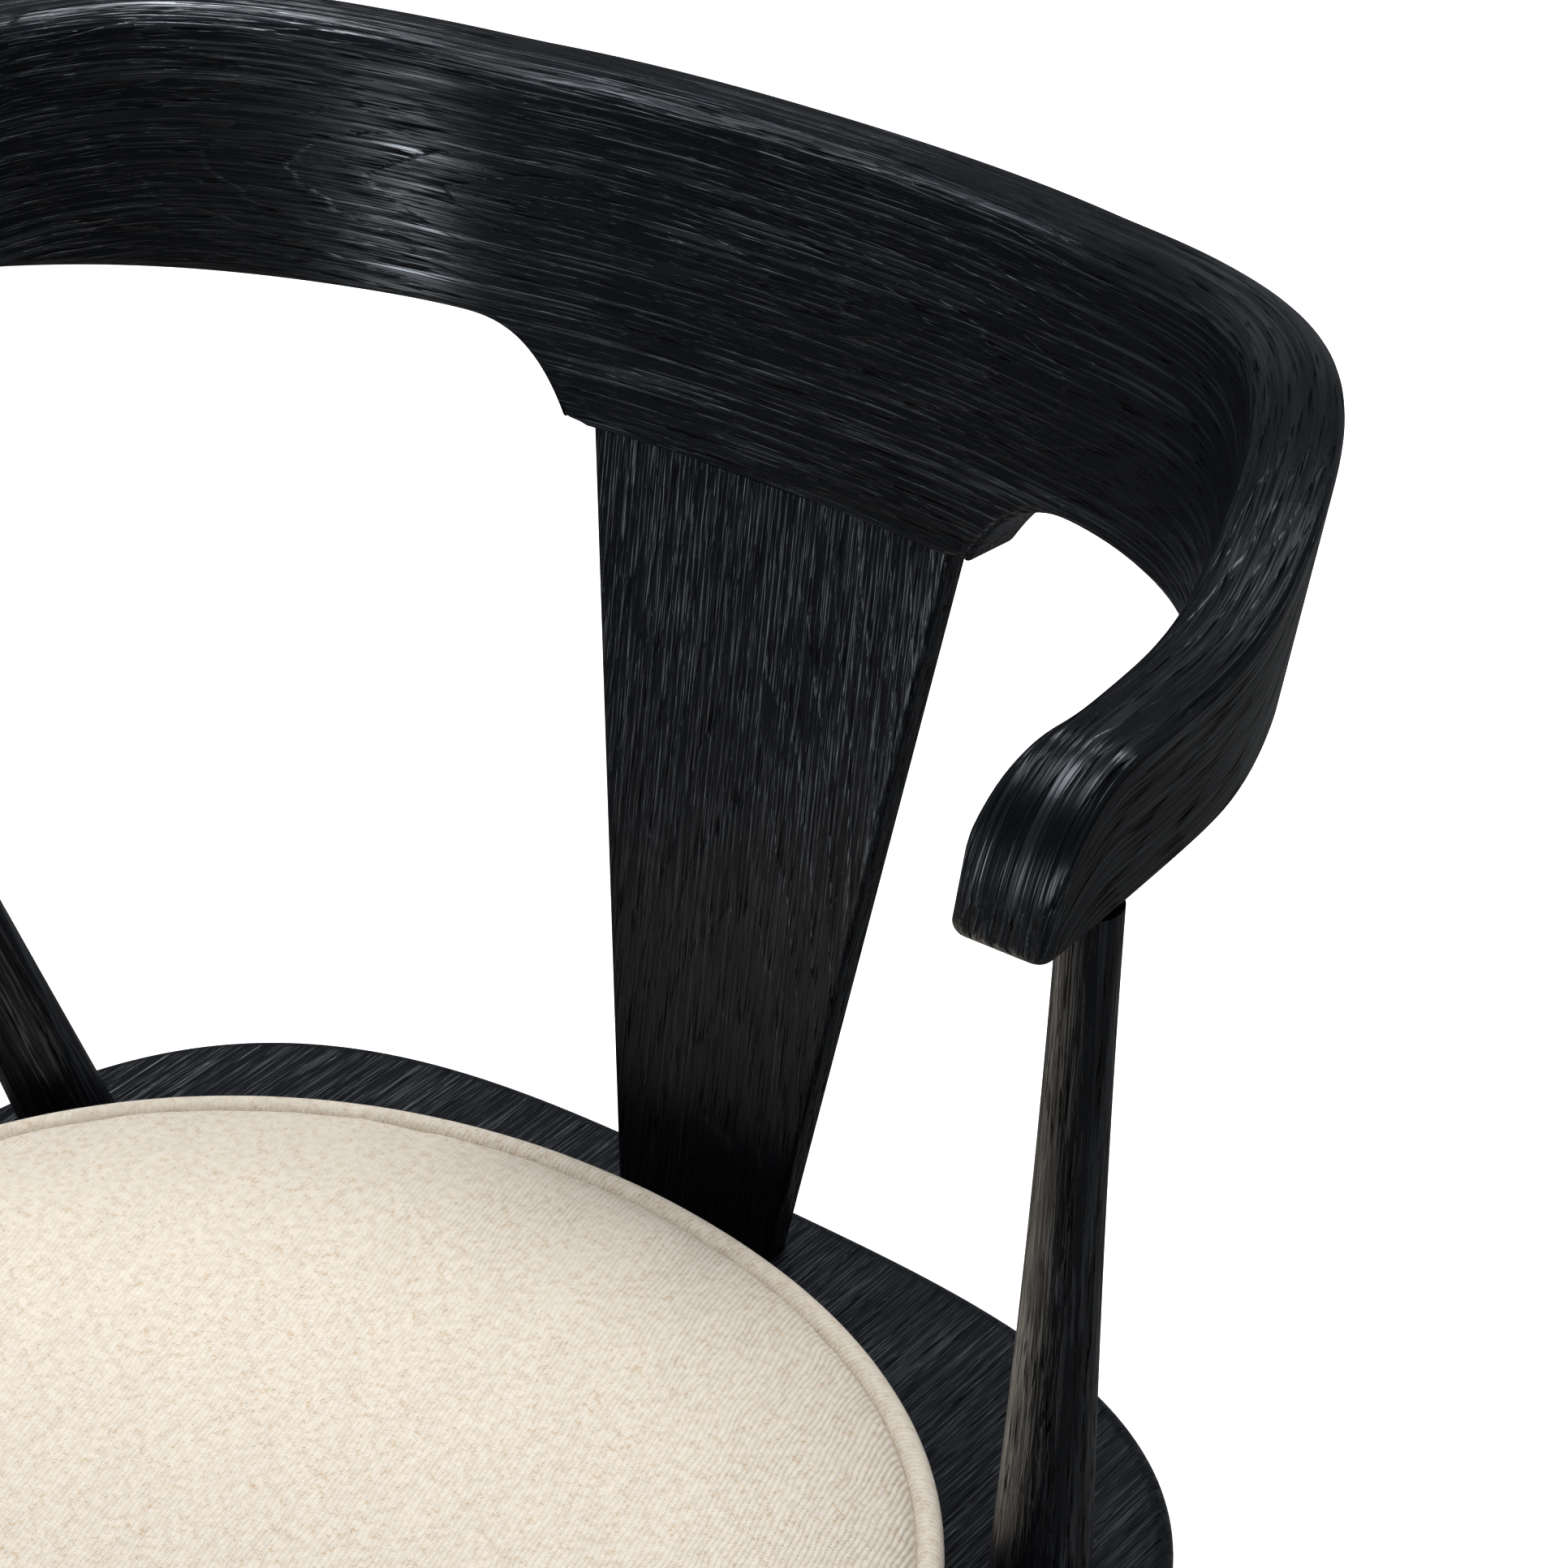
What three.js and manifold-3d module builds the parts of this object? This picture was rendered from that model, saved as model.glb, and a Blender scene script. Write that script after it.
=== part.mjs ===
// Wooden armchair with a T-shaped back, two short arms on leaning posts and a round seat cushion.
// Units are millimetres, +Z is up, the sitter faces -Y and X runs across the chair.
import * as THREE from "three";
import { mergeVertices } from "three/addons/utils/BufferGeometryUtils.js";
import Module from "manifold-3d";

const wasm = await Module();
wasm.setup();
const { Manifold, Mesh } = wasm;

// ---------------------------------------------------------------------------
// Driving dimensions
// ---------------------------------------------------------------------------
const GAP = 0.3; // clearance between faces that meet
const HOLE_GAP = 0.3; // radial clearance of a peg in its hole
const BLIND_GAP = 1.0; // spare depth at the bottom of a blind hole

const SEAT_TOP = 420; // floor to the top of the seat board
const SEAT_THICK = 26;
const SEAT_HALF_WIDTH = 236;
const SEAT_WIDEST_Y = 27; // where the seat is widest
const SEAT_BACK_DEPTH = 228; // from the widest line to the back edge
const SEAT_FRONT_DEPTH = 256; // from the widest line to the front edge
const SEAT_BACK_SQUARENESS = 3.4; // superellipse exponents of the outline
const SEAT_FRONT_SQUARENESS = 2.7;
const SEAT_EDGE_TOP_ROUND = 6;
const SEAT_EDGE_BOTTOM_ROUND = 7;

const RAIL_THICK = 24;
const RAIL_TOP = 361; // heights from here down to the arms are above the seat board
const RAIL_BOTTOM = 279.5;
const RAIL_LEAN = THREE.MathUtils.degToRad(9.5);
const RAIL_REFERENCE = 322.5; // height at which the plan curve is drawn
const RAIL_BACK_Y = 291.5; // centreline of the rail at its middle
const CORNER_TOP = 376; // the upper edge is highest at the rear corners
const CORNER_RISE = { from: 100, run: 140 }; // where the upper edge lifts, along the plan curve
const CORNER_FALL = { from: 255, run: 105 }; // where it comes down to the arms
const UNDER_RISE = { from: 85, run: 300 }; // where the lower edge rises to the arms
const EAR_DROP = 25.6; // how far the ears reach below the rail
const EAR_HALF_WIDTH = 79.5;
const EAR_FILLET = 44; // run of the hollow between ear and rail
const EAR_HOLLOW = 3; // how quickly the hollow flattens out
const ARM_TOP = 362;
const ARM_BOTTOM = 312;
const ARM_SEAM_Y = 160; // the arms are joined to the rail just ahead of the rear corners
const ARM_END_X = 253;
const ARM_END_Y = 34;
const NOSE_LENGTH = 27; // length of the rounded front end of an arm
const NOSE_LIP = 16; // height left at the very end
const NOSE_SPREAD = 4; // how much an arm widens inwards at its end
const NOSE_SPREAD_RUN = 40;
const TOP_ROUND = 7; // rounding of the rail's and the arms' upper edges
const BOTTOM_ROUND = 4;
const ROUND_SHARE = 0.45; // the most that a rounding takes of a low section's height
const RAIL_STEP = 13; // distance between sections along the rail
const FINE_STEP = 4; // the same beside the ears and over the nose
const TIP_STEP = 1.5; // the same at the very end of an arm
const TIP_LENGTH = 6;

const SPLAT_THICK = 12;
const SPLAT_BASE_HALF = 30.8;
const SPLAT_TOP_HALF = 68.3;
const SPLAT_BASE_Y = 225; // front face at the seat
const SPLAT_SET_BACK = 1.5; // front face behind the rail's front face
const SPLAT_EDGE_ROUND = 3;
const SPLAT_DOWEL_R = 3;
const SPLAT_DOWEL_HALF = 16;
const SPLAT_DOWEL_BASE_X = 16;
const SPLAT_DOWEL_TOP_X = 42;
const SPLAT_LEVELS = [0, 0.25, 0.5, 0.75, 1];
const CORNER_CUT = 0.3; // how near a rounded corner of the splat comes to its square corner

const POST_BASE_X = 195.5;
const POST_BASE_Y = 141;
const POST_TOP_X = 254.8;
const POST_TOP_Y = 66.5;
const POST_BASE_R = 15.8;
const POST_TOP_R = 8;
const POST_TAPER = [[0.35, 0.48], [0.65, 0.8]]; // share of the length, share of the taper
const POST_SPARE = 12; // extra length before the ends are cut level
const POST_MORTISE_RUN = 20; // how far a mortise's cutter starts outside
const POST_TENON_BASE_R = 10;
const POST_TENON_TOP_R = 5;
const POST_TENON_BASE = 18;
const POST_TENON_TOP = 16;

const ARM_DOWEL_R = 4;
const ARM_DOWEL_HALF = 17;
const ARM_DOWEL_SPACING = 24;

const BATTEN_THICK = 22;
const BATTEN_WIDTH = 48;
const BATTEN_X = 146;
const BATTEN_FRONT_Y = -150;
const BATTEN_BACK_Y = 205;
const BATTEN_CHAMFER = 8;

const LEG_TOP_X = 146;
const LEG_FRONT_TOP_Y = -115;
const LEG_BACK_TOP_Y = 170;
const LEG_FOOT_X = 206;
const LEG_FRONT_FOOT_Y = -172;
const LEG_BACK_FOOT_Y = 250;
const LEG_FOOT_R = 11;
const LEG_BELLY_R = 18;
const LEG_SHOULDER_R = 16;
const LEG_BELLY_AT = 0.66; // share of the length where a leg is thickest
const LEG_SWELL = [0.33, 0.62]; // share of the length, share of the swelling reached there
const LEG_EASE = [0.12, 0.4]; // share of the length above the belly, and the radius lost there
const LEG_SPARE = 10;
const LEG_MORTISE_RUN = 25;
const LEG_TENON_R = 11;
const LEG_TENON_IN_SEAT = 16;
const GLIDE_THICK = 5;
const GLIDE_R = 9.5;
const GLIDE_STEM_R = 3;
const GLIDE_STEM = 16;

const CUSHION_R = 209; // outside of the welt
const CUSHION_FLAT = 5.7; // how much the outline is drawn in at the back
const WELT_R = 4;
const WELT_Z = 27; // height of the welt's centre above the seat board
const CUSHION_CROWN = 11; // rise of the middle over the welt
const CROWN_POWER = 2.6; // how late the crown falls away towards the edge
const PANEL_LIFT = 2; // the panel's edge over the welt's centre
const PANEL_SHARES = [0.12, 0.4, 0.65, 0.84, 0.95, 1]; // rings of the panel, as shares of its radius
const BOXING_INSET = 0.4; // how far the boxing stands inside the welt
const WELT_SIDES = 8;
const FABRIC = 1.6;
const CUSHION_BOARD = 6;
const CUSHION_SEGMENTS = 60;
const PAD_BOLT_PITCH = 120;
const PAD_BOLT_R = 3;
const PAD_BOLT_HEAD_R = 7;
const PAD_BOLT_HEAD = 3;
const PAD_NUT_R = 4.6;
const PAD_NUT_FLANGE_R = 9;
const PAD_NUT_FLANGE = 1.4;

const SCREW_R = 2.2;
const SCREW_HEAD_R = 4.4;
const SCREW_HEAD = 3;
const SCREW_LENGTH = 38;
const SCREW_POINT = 6;
const SCREW_Y = { front: -60, middle: 25, back: 115 };

// ---------------------------------------------------------------------------
// Finishes
// ---------------------------------------------------------------------------
const finish = (name, color, roughness, metalness = 0) => () => {
  const material = new THREE.MeshStandardMaterial({ color, roughness, metalness });
  material.name = name;
  return material;
};
const BLACK_OAK = finish("black_oak", 0x16171a, 0.42);
const BEECH = finish("beech", 0xcfae84, 0.6);
const PLYWOOD = finish("plywood", 0xc7a577, 0.65);
const FOAM = finish("foam", 0xe8dfc2, 0.95);
const CLOTH = finish("oatmeal_cloth", 0xddd5c8, 0.92);
const STEEL = finish("zinc_steel", 0x9c9ea2, 0.35, 1);
const NYLON = finish("nylon", 0x1c1c1d, 0.5);

// ---------------------------------------------------------------------------
// Solids: three.js makes every shape, manifold-3d only joins and cuts
// ---------------------------------------------------------------------------
/** A manifold of a closed three.js geometry. */
function solid(geometry) {
  const bare = new THREE.BufferGeometry();
  bare.setAttribute("position", geometry.getAttribute("position"));
  if (geometry.index) bare.setIndex(geometry.index);
  const merged = mergeVertices(bare, 1e-4);
  const index = [];
  const source = merged.index.array;
  for (let i = 0; i < source.length; i += 3) {
    const [a, b, c] = [source[i], source[i + 1], source[i + 2]];
    if (a !== b && b !== c && c !== a) index.push(a, b, c);
  }
  const mesh = new Mesh({
    numProp: 3,
    vertProperties: new Float32Array(merged.getAttribute("position").array),
    triVerts: new Uint32Array(index),
  });
  mesh.merge();
  return new Manifold(mesh);
}

/** A flat-shaded three.js geometry of a manifold. */
function geometryOf(body) {
  const mesh = body.getMesh();
  const geometry = new THREE.BufferGeometry();
  geometry.setAttribute("position", new THREE.BufferAttribute(new Float32Array(mesh.vertProperties), 3));
  geometry.setIndex(new THREE.BufferAttribute(new Uint32Array(mesh.triVerts), 1));
  geometry.computeVertexNormals();
  return geometry;
}

/** A closed skin over rings of points; the first and last rings are capped with a fan. */
function skin(rings, wrap = false) {
  const count = rings[0].length;
  const points = rings.flat();
  const index = [];
  const last = wrap ? rings.length : rings.length - 1;
  for (let i = 0; i < last; i += 1) {
    const here = i * count;
    const next = ((i + 1) % rings.length) * count;
    for (let j = 0; j < count; j += 1) {
      const k = (j + 1) % count;
      index.push(here + j, here + k, next + k);
      index.push(here + j, next + k, next + j);
    }
  }
  if (!wrap) {
    const middle = (ring) => ring.reduce((sum, p) => sum.add(p), new THREE.Vector3()).divideScalar(count);
    points.push(middle(rings[0]), middle(rings[rings.length - 1]));
    const start = rings.length * count;
    const tail = (rings.length - 1) * count;
    for (let j = 0; j < count; j += 1) {
      const k = (j + 1) % count;
      index.push(start, k, j);
      index.push(start + 1, tail + j, tail + k);
    }
  }
  const geometry = new THREE.BufferGeometry().setFromPoints(points);
  geometry.setIndex(index);
  const body = solid(geometry);
  if (body.volume() > 0) return body;
  const flipped = [];
  for (let i = 0; i < index.length; i += 3) flipped.push(index[i], index[i + 2], index[i + 1]);
  geometry.setIndex(flipped);
  return solid(geometry);
}

/** A box between two corners. */
function box(x0, y0, z0, x1, y1, z1) {
  const geometry = new THREE.BoxGeometry(x1 - x0, y1 - y0, z1 - z0);
  geometry.translate((x0 + x1) / 2, (y0 + y1) / 2, (z0 + z1) / 2);
  return solid(geometry);
}

/** The part of a body between two heights. */
function between(body, low, high) {
  return body.intersect(box(-900, -900, low, 900, 900, high));
}

/** A turned shape: profile pairs [radius, distance], laid along the line from start towards end. */
function turned(profile, start, end, segments = 20) {
  const points = profile.map(([r, h]) => new THREE.Vector2(r, h));
  const geometry = new THREE.LatheGeometry(points, segments);
  geometry.rotateX(Math.PI / 2);
  const direction = end.clone().sub(start).normalize();
  const turn = new THREE.Quaternion().setFromUnitVectors(new THREE.Vector3(0, 0, 1), direction);
  geometry.applyQuaternion(turn);
  geometry.translate(start.x, start.y, start.z);
  const body = solid(geometry);
  if (body.volume() > 0) return body;
  const index = Array.from(geometry.index.array);
  const flipped = [];
  for (let i = 0; i < index.length; i += 3) flipped.push(index[i], index[i + 2], index[i + 1]);
  geometry.setIndex(flipped);
  return solid(geometry);
}

/** A plain round peg of one radius from start to end. */
function peg(start, end, radius, segments = 16) {
  const length = start.distanceTo(end);
  return turned([[0, 0], [radius, 0], [radius, length], [0, length]], start, end, segments);
}

/** The hole for a peg: wider by the radial clearance and deeper at both ends. */
function holeFor(start, end, radius, segments = 16) {
  const along = end.clone().sub(start).setLength(BLIND_GAP);
  return peg(start.clone().sub(along), end.clone().add(along), radius + HOLE_GAP, segments);
}

const v = (x, y, z) => new THREE.Vector3(x, y, z);
const SIDES = { left: -1, right: 1 };
const ease = (t) => {
  const c = Math.min(Math.max(t, 0), 1);
  return c * c * (3 - 2 * c);
};

// ---------------------------------------------------------------------------
// Named pieces
// ---------------------------------------------------------------------------
const pieces = new Map();
const add = (name, body, material) => pieces.set(name, { body, material });
const cut = (name, tool) => {
  const piece = pieces.get(name);
  piece.body = piece.body.subtract(tool);
};

// ---------------------------------------------------------------------------
// Crest rail and arms: one section swept along a plan curve
// ---------------------------------------------------------------------------
const halfCurve = [
  v(0, RAIL_BACK_Y, 0),
  v(50, RAIL_BACK_Y - 1.5, 0),
  v(89, RAIL_BACK_Y - 6, 0),
  v(127, RAIL_BACK_Y - 15, 0),
  v(162, RAIL_BACK_Y - 35, 0),
  v(190, RAIL_BACK_Y - 60, 0),
  v(210.5, RAIL_BACK_Y - 86.5, 0),
  v(227, RAIL_BACK_Y - 116.5, 0),
  v(239.9, RAIL_BACK_Y - 147.6, 0),
  v(ARM_END_X - 5.2, ARM_END_Y + 84, 0),
  v(ARM_END_X - 1.7, ARM_END_Y + 52, 0),
  v(ARM_END_X - 0.4, ARM_END_Y + 24, 0),
  v(ARM_END_X, ARM_END_Y, 0),
];
const leftHalf = halfCurve.slice(1).reverse().map((p) => v(-p.x, p.y, 0));
const planCurve = new THREE.CatmullRomCurve3([...leftHalf, ...halfCurve], false, "centripetal");
planCurve.arcLengthDivisions = 2000;
const CURVE_LENGTH = planCurve.getLength();

/** How far a smooth change along the plan curve has gone at a distance. */
const gone = ({ from, run }, distance) => ease((distance - from) / run);

/** Height of the lower edge, with the two ears beside the splat. */
function lowerEdge(distance) {
  const plain = RAIL_BOTTOM + (ARM_BOTTOM - RAIL_BOTTOM) * gone(UNDER_RISE, distance);
  const t = Math.min(Math.max((distance - EAR_HALF_WIDTH) / EAR_FILLET, 0), 1);
  return plain - EAR_DROP * (1 - t) ** EAR_HOLLOW;
}

/** Height of the upper edge, which lifts at the rear corners and rolls over at the end of an arm. */
function upperEdge(distance) {
  const lift = (CORNER_TOP - RAIL_TOP) * gone(CORNER_RISE, distance);
  const plain = RAIL_TOP + lift + (ARM_TOP - CORNER_TOP) * gone(CORNER_FALL, distance);
  const left = CURVE_LENGTH / 2 - distance;
  if (left >= NOSE_LENGTH) return plain;
  const low = ARM_BOTTOM + NOSE_LIP;
  return low + (plain - low) * Math.sqrt(1 - (1 - left / NOSE_LENGTH) ** 2);
}

/** A rounded oblong of points around a section: a is outwards, b is up. */
function sectionOutline(inner, outer, low, high, steps = 3) {
  const top = Math.min(TOP_ROUND, (high - low) * ROUND_SHARE);
  const bottom = Math.min(BOTTOM_ROUND, (high - low) * ROUND_SHARE);
  const corners = [
    [outer - bottom, low + bottom, bottom, -90],
    [outer - top, high - top, top, 0],
    [-inner + top, high - top, top, 90],
    [-inner + bottom, low + bottom, bottom, 180],
  ];
  const outline = [];
  for (const [a, b, r, from] of corners) {
    for (let i = 0; i <= steps; i += 1) {
      const angle = THREE.MathUtils.degToRad(from + (90 * i) / steps);
      outline.push([a + r * Math.cos(angle), b + r * Math.sin(angle)]);
    }
  }
  return outline;
}

/** One section of the rail, at a signed distance along the curve from its middle. */
function railSection(signed) {
  const u = signed / CURVE_LENGTH + 0.5;
  const point = planCurve.getPointAt(Math.min(Math.max(u, 0), 1));
  const tangent = planCurve.getTangentAt(Math.min(Math.max(u, 0), 1));
  const outwards = v(-tangent.y, tangent.x, 0).normalize();
  const distance = Math.abs(signed);
  const lean = Math.tan(RAIL_LEAN);
  const outer = RAIL_THICK / 2;
  const inner = outer + NOSE_SPREAD * ease(1 - (CURVE_LENGTH / 2 - distance) / NOSE_SPREAD_RUN);
  return sectionOutline(inner, outer, lowerEdge(distance), upperEdge(distance)).map(([a, b]) => {
    const side = a + lean * (b - RAIL_REFERENCE);
    return v(point.x + outwards.x * side, point.y + outwards.y * side, SEAT_TOP + b);
  });
}

/** The signed curve distance at which the right arm is joined to the rail. */
function seamDistance() {
  let low = 0;
  let high = CURVE_LENGTH / 2;
  for (let i = 0; i < 40; i += 1) {
    const half = (low + high) / 2;
    if (planCurve.getPointAt(half / CURVE_LENGTH + 0.5).y > ARM_SEAM_Y) low = half;
    else high = half;
  }
  return (low + high) / 2;
}
const SEAM = seamDistance();

/** Stations between two curve distances, closer together at the ears and at the arm's end. */
function stations(from, to) {
  const list = [from];
  let here = from;
  while (here < to - 1e-6) {
    const inHollow = here >= EAR_HALF_WIDTH && here < EAR_HALF_WIDTH + EAR_FILLET;
    const left = CURVE_LENGTH / 2 - here;
    let step = RAIL_STEP;
    if (inHollow || left < NOSE_LENGTH + FINE_STEP) step = FINE_STEP;
    if (left < TIP_LENGTH) step = TIP_STEP;
    const next = here < EAR_HALF_WIDTH ? Math.min(here + step, EAR_HALF_WIDTH) : here + step;
    here = next > to - TIP_STEP / 2 ? to : next;
    list.push(here);
  }
  return list;
}
const mirrorStations = (from, to) => stations(from, to).map((s) => -s).reverse();

const railStations = [...mirrorStations(0, SEAM - GAP / 2).slice(0, -1), ...stations(0, SEAM - GAP / 2)];
add("crest_rail", skin(railStations.map(railSection)), BLACK_OAK);
const armStations = stations(SEAM + GAP / 2, CURVE_LENGTH / 2);
add("arm_right", skin(armStations.map(railSection)), BLACK_OAK);
add("arm_left", skin(armStations.map((s) => -s).reverse().map(railSection)), BLACK_OAK);

// Dowels across the two seams.
for (const [side, sign] of Object.entries(SIDES)) {
  const u = (sign * SEAM) / CURVE_LENGTH + 0.5;
  const point = planCurve.getPointAt(u);
  const tangent = planCurve.getTangentAt(u).setLength(ARM_DOWEL_HALF);
  const outwards = v(-tangent.y, tangent.x, 0).normalize();
  const middle = (upperEdge(SEAM) + lowerEdge(SEAM)) / 2;
  for (const [level, up] of Object.entries({ lower: -1, upper: 1 })) {
    const height = middle + (up * ARM_DOWEL_SPACING) / 2;
    const centre = v(point.x, point.y, SEAT_TOP + height);
    centre.addScaledVector(outwards, Math.tan(RAIL_LEAN) * (height - RAIL_REFERENCE));
    const ends = [centre.clone().sub(tangent), centre.clone().add(tangent)];
    add(`arm_dowel_${side}_${level}`, peg(...ends, ARM_DOWEL_R), BEECH);
    cut("crest_rail", holeFor(...ends, ARM_DOWEL_R));
    cut(`arm_${side}`, holeFor(...ends, ARM_DOWEL_R));
  }
}

// ---------------------------------------------------------------------------
// Back splat, standing on the seat and meeting the rail between its ears
// ---------------------------------------------------------------------------
const SPLAT_TOP_Z = RAIL_BOTTOM - EAR_DROP;
/** Front face of the rail, on the chair's middle plane, at a height above the seat. */
function railFront(z) {
  return RAIL_BACK_Y - RAIL_THICK / 2 + Math.tan(RAIL_LEAN) * (z - RAIL_REFERENCE);
}
const SPLAT_TOP_Y = railFront(SPLAT_TOP_Z) + SPLAT_SET_BACK;

/** One level section of the splat. */
function splatSection(share) {
  const low = GAP;
  const high = SPLAT_TOP_Z - GAP;
  const z = low + (high - low) * share;
  const front = SPLAT_BASE_Y + (SPLAT_TOP_Y - SPLAT_BASE_Y) * (z / SPLAT_TOP_Z);
  const half = SPLAT_BASE_HALF + (SPLAT_TOP_HALF - SPLAT_BASE_HALF) * (z / SPLAT_TOP_Z);
  const r = SPLAT_EDGE_ROUND;
  const ring = [];
  const across = 6;
  for (let i = 0; i <= across; i += 1) ring.push([-half + r + ((2 * half - 2 * r) * i) / across, 0]);
  const cutBack = r * CORNER_CUT;
  ring.push([half - cutBack, cutBack], [half, r], [half, SPLAT_THICK - r]);
  ring.push([half - cutBack, SPLAT_THICK - cutBack]);
  for (let i = across; i >= 0; i -= 1) {
    ring.push([-half + r + ((2 * half - 2 * r) * i) / across, SPLAT_THICK]);
  }
  ring.push([-half + cutBack, SPLAT_THICK - cutBack], [-half, SPLAT_THICK - r], [-half, r]);
  ring.push([-half + cutBack, cutBack]);
  return ring.map(([x, y]) => v(x, front + y, SEAT_TOP + z));
}
add("back_splat", skin(SPLAT_LEVELS.map(splatSection)), BLACK_OAK);

// ---------------------------------------------------------------------------
// Seat board
// ---------------------------------------------------------------------------
/** Outline of the seat, drawn in by an inset. */
function seatOutline(inset, z, count = 96) {
  const ring = [];
  for (let i = 0; i < count; i += 1) {
    const angle = (2 * Math.PI * i) / count;
    const c = Math.cos(angle);
    const s = Math.sin(angle);
    const power = 2 / (s > 0 ? SEAT_BACK_SQUARENESS : SEAT_FRONT_SQUARENESS);
    const depth = s > 0 ? SEAT_BACK_DEPTH : SEAT_FRONT_DEPTH;
    const x = (SEAT_HALF_WIDTH - inset) * Math.sign(c) * Math.abs(c) ** power;
    const y = (depth - inset) * Math.sign(s) * Math.abs(s) ** power;
    ring.push(v(x, SEAT_WIDEST_Y + y, z));
  }
  return ring;
}
const seatRings = [];
const seatUnder = SEAT_TOP - SEAT_THICK;
for (const degrees of [0, 30, 60, 90]) {
  const angle = THREE.MathUtils.degToRad(degrees);
  const inset = SEAT_EDGE_BOTTOM_ROUND * (1 - Math.sin(angle));
  seatRings.push(seatOutline(inset, seatUnder + SEAT_EDGE_BOTTOM_ROUND * (1 - Math.cos(angle))));
}
for (const degrees of [0, 30, 60, 90]) {
  const angle = THREE.MathUtils.degToRad(degrees);
  const inset = SEAT_EDGE_TOP_ROUND * (1 - Math.cos(angle));
  seatRings.push(seatOutline(inset, SEAT_TOP - SEAT_EDGE_TOP_ROUND * (1 - Math.sin(angle))));
}
add("seat_board", skin(seatRings), BLACK_OAK);

// Dowels at both ends of the splat, along its slope.
const splatSlope = v(0, SPLAT_TOP_Y - SPLAT_BASE_Y, SPLAT_TOP_Z).setLength(SPLAT_DOWEL_HALF);
for (const [side, sign] of Object.entries(SIDES)) {
  const ends = {
    base: v(sign * SPLAT_DOWEL_BASE_X, SPLAT_BASE_Y + SPLAT_THICK / 2, SEAT_TOP),
    top: v(sign * SPLAT_DOWEL_TOP_X, SPLAT_TOP_Y + SPLAT_THICK / 2, SEAT_TOP + SPLAT_TOP_Z),
  };
  for (const [end, centre] of Object.entries(ends)) {
    const line = [centre.clone().sub(splatSlope), centre.clone().add(splatSlope)];
    add(`splat_dowel_${end}_${side}`, peg(...line, SPLAT_DOWEL_R), BEECH);
    cut("back_splat", holeFor(...line, SPLAT_DOWEL_R));
    cut(end === "base" ? "seat_board" : "crest_rail", holeFor(...line, SPLAT_DOWEL_R));
  }
}

// ---------------------------------------------------------------------------
// Arm posts
// ---------------------------------------------------------------------------
for (const [side, sign] of Object.entries(SIDES)) {
  const base = v(sign * POST_BASE_X, POST_BASE_Y, SEAT_TOP);
  const top = v(sign * POST_TOP_X, POST_TOP_Y, SEAT_TOP + ARM_BOTTOM);
  const length = base.distanceTo(top);
  const along = top.clone().sub(base).normalize();
  const at = (distance) => base.clone().addScaledVector(along, distance);
  const taper = POST_BASE_R - POST_TOP_R;
  const spareTaper = (taper / length) * POST_SPARE;
  const shaft = turned(
    [
      [0, 0],
      [POST_BASE_R + spareTaper, 0],
      ...POST_TAPER.map(([share, lost]) => [POST_BASE_R - lost * taper, POST_SPARE + length * share]),
      [POST_TOP_R - spareTaper, length + 2 * POST_SPARE],
      [0, length + 2 * POST_SPARE],
    ],
    at(-POST_SPARE),
    top,
    24,
  );
  const body = between(shaft, SEAT_TOP + GAP, SEAT_TOP + ARM_BOTTOM - GAP);
  const lowTenon = [at(-POST_TENON_BASE), at(POST_SPARE)];
  const highTenon = [at(length - POST_SPARE), at(length + POST_TENON_TOP)];
  const post = body.add(peg(...lowTenon, POST_TENON_BASE_R)).add(peg(...highTenon, POST_TENON_TOP_R));
  add(`arm_post_${side}`, post, BLACK_OAK);
  cut("seat_board", holeFor(lowTenon[0], at(POST_MORTISE_RUN), POST_TENON_BASE_R));
  cut(`arm_${side}`, holeFor(at(length - POST_MORTISE_RUN), highTenon[1], POST_TENON_TOP_R));
}

// ---------------------------------------------------------------------------
// Battens under the seat and the four legs
// ---------------------------------------------------------------------------
const battenTop = seatUnder - GAP;
const battenUnder = battenTop - BATTEN_THICK;
for (const [side, sign] of Object.entries(SIDES)) {
  const [x0, x1] = [sign * BATTEN_X - BATTEN_WIDTH / 2, sign * BATTEN_X + BATTEN_WIDTH / 2];
  const shape = new THREE.Shape();
  shape.moveTo(BATTEN_FRONT_Y, battenTop);
  shape.lineTo(BATTEN_FRONT_Y, battenUnder + BATTEN_CHAMFER);
  shape.lineTo(BATTEN_FRONT_Y + BATTEN_CHAMFER * 2, battenUnder);
  shape.lineTo(BATTEN_BACK_Y - BATTEN_CHAMFER * 2, battenUnder);
  shape.lineTo(BATTEN_BACK_Y, battenUnder + BATTEN_CHAMFER);
  shape.lineTo(BATTEN_BACK_Y, battenTop);
  shape.closePath();
  const geometry = new THREE.ExtrudeGeometry(shape, { depth: x1 - x0, bevelEnabled: false });
  const basis = new THREE.Matrix4().makeBasis(v(0, 1, 0), v(0, 0, 1), v(1, 0, 0));
  geometry.applyMatrix4(basis);
  geometry.translate(x0, 0, 0);
  add(`seat_batten_${side}`, solid(geometry), BLACK_OAK);
}

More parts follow.
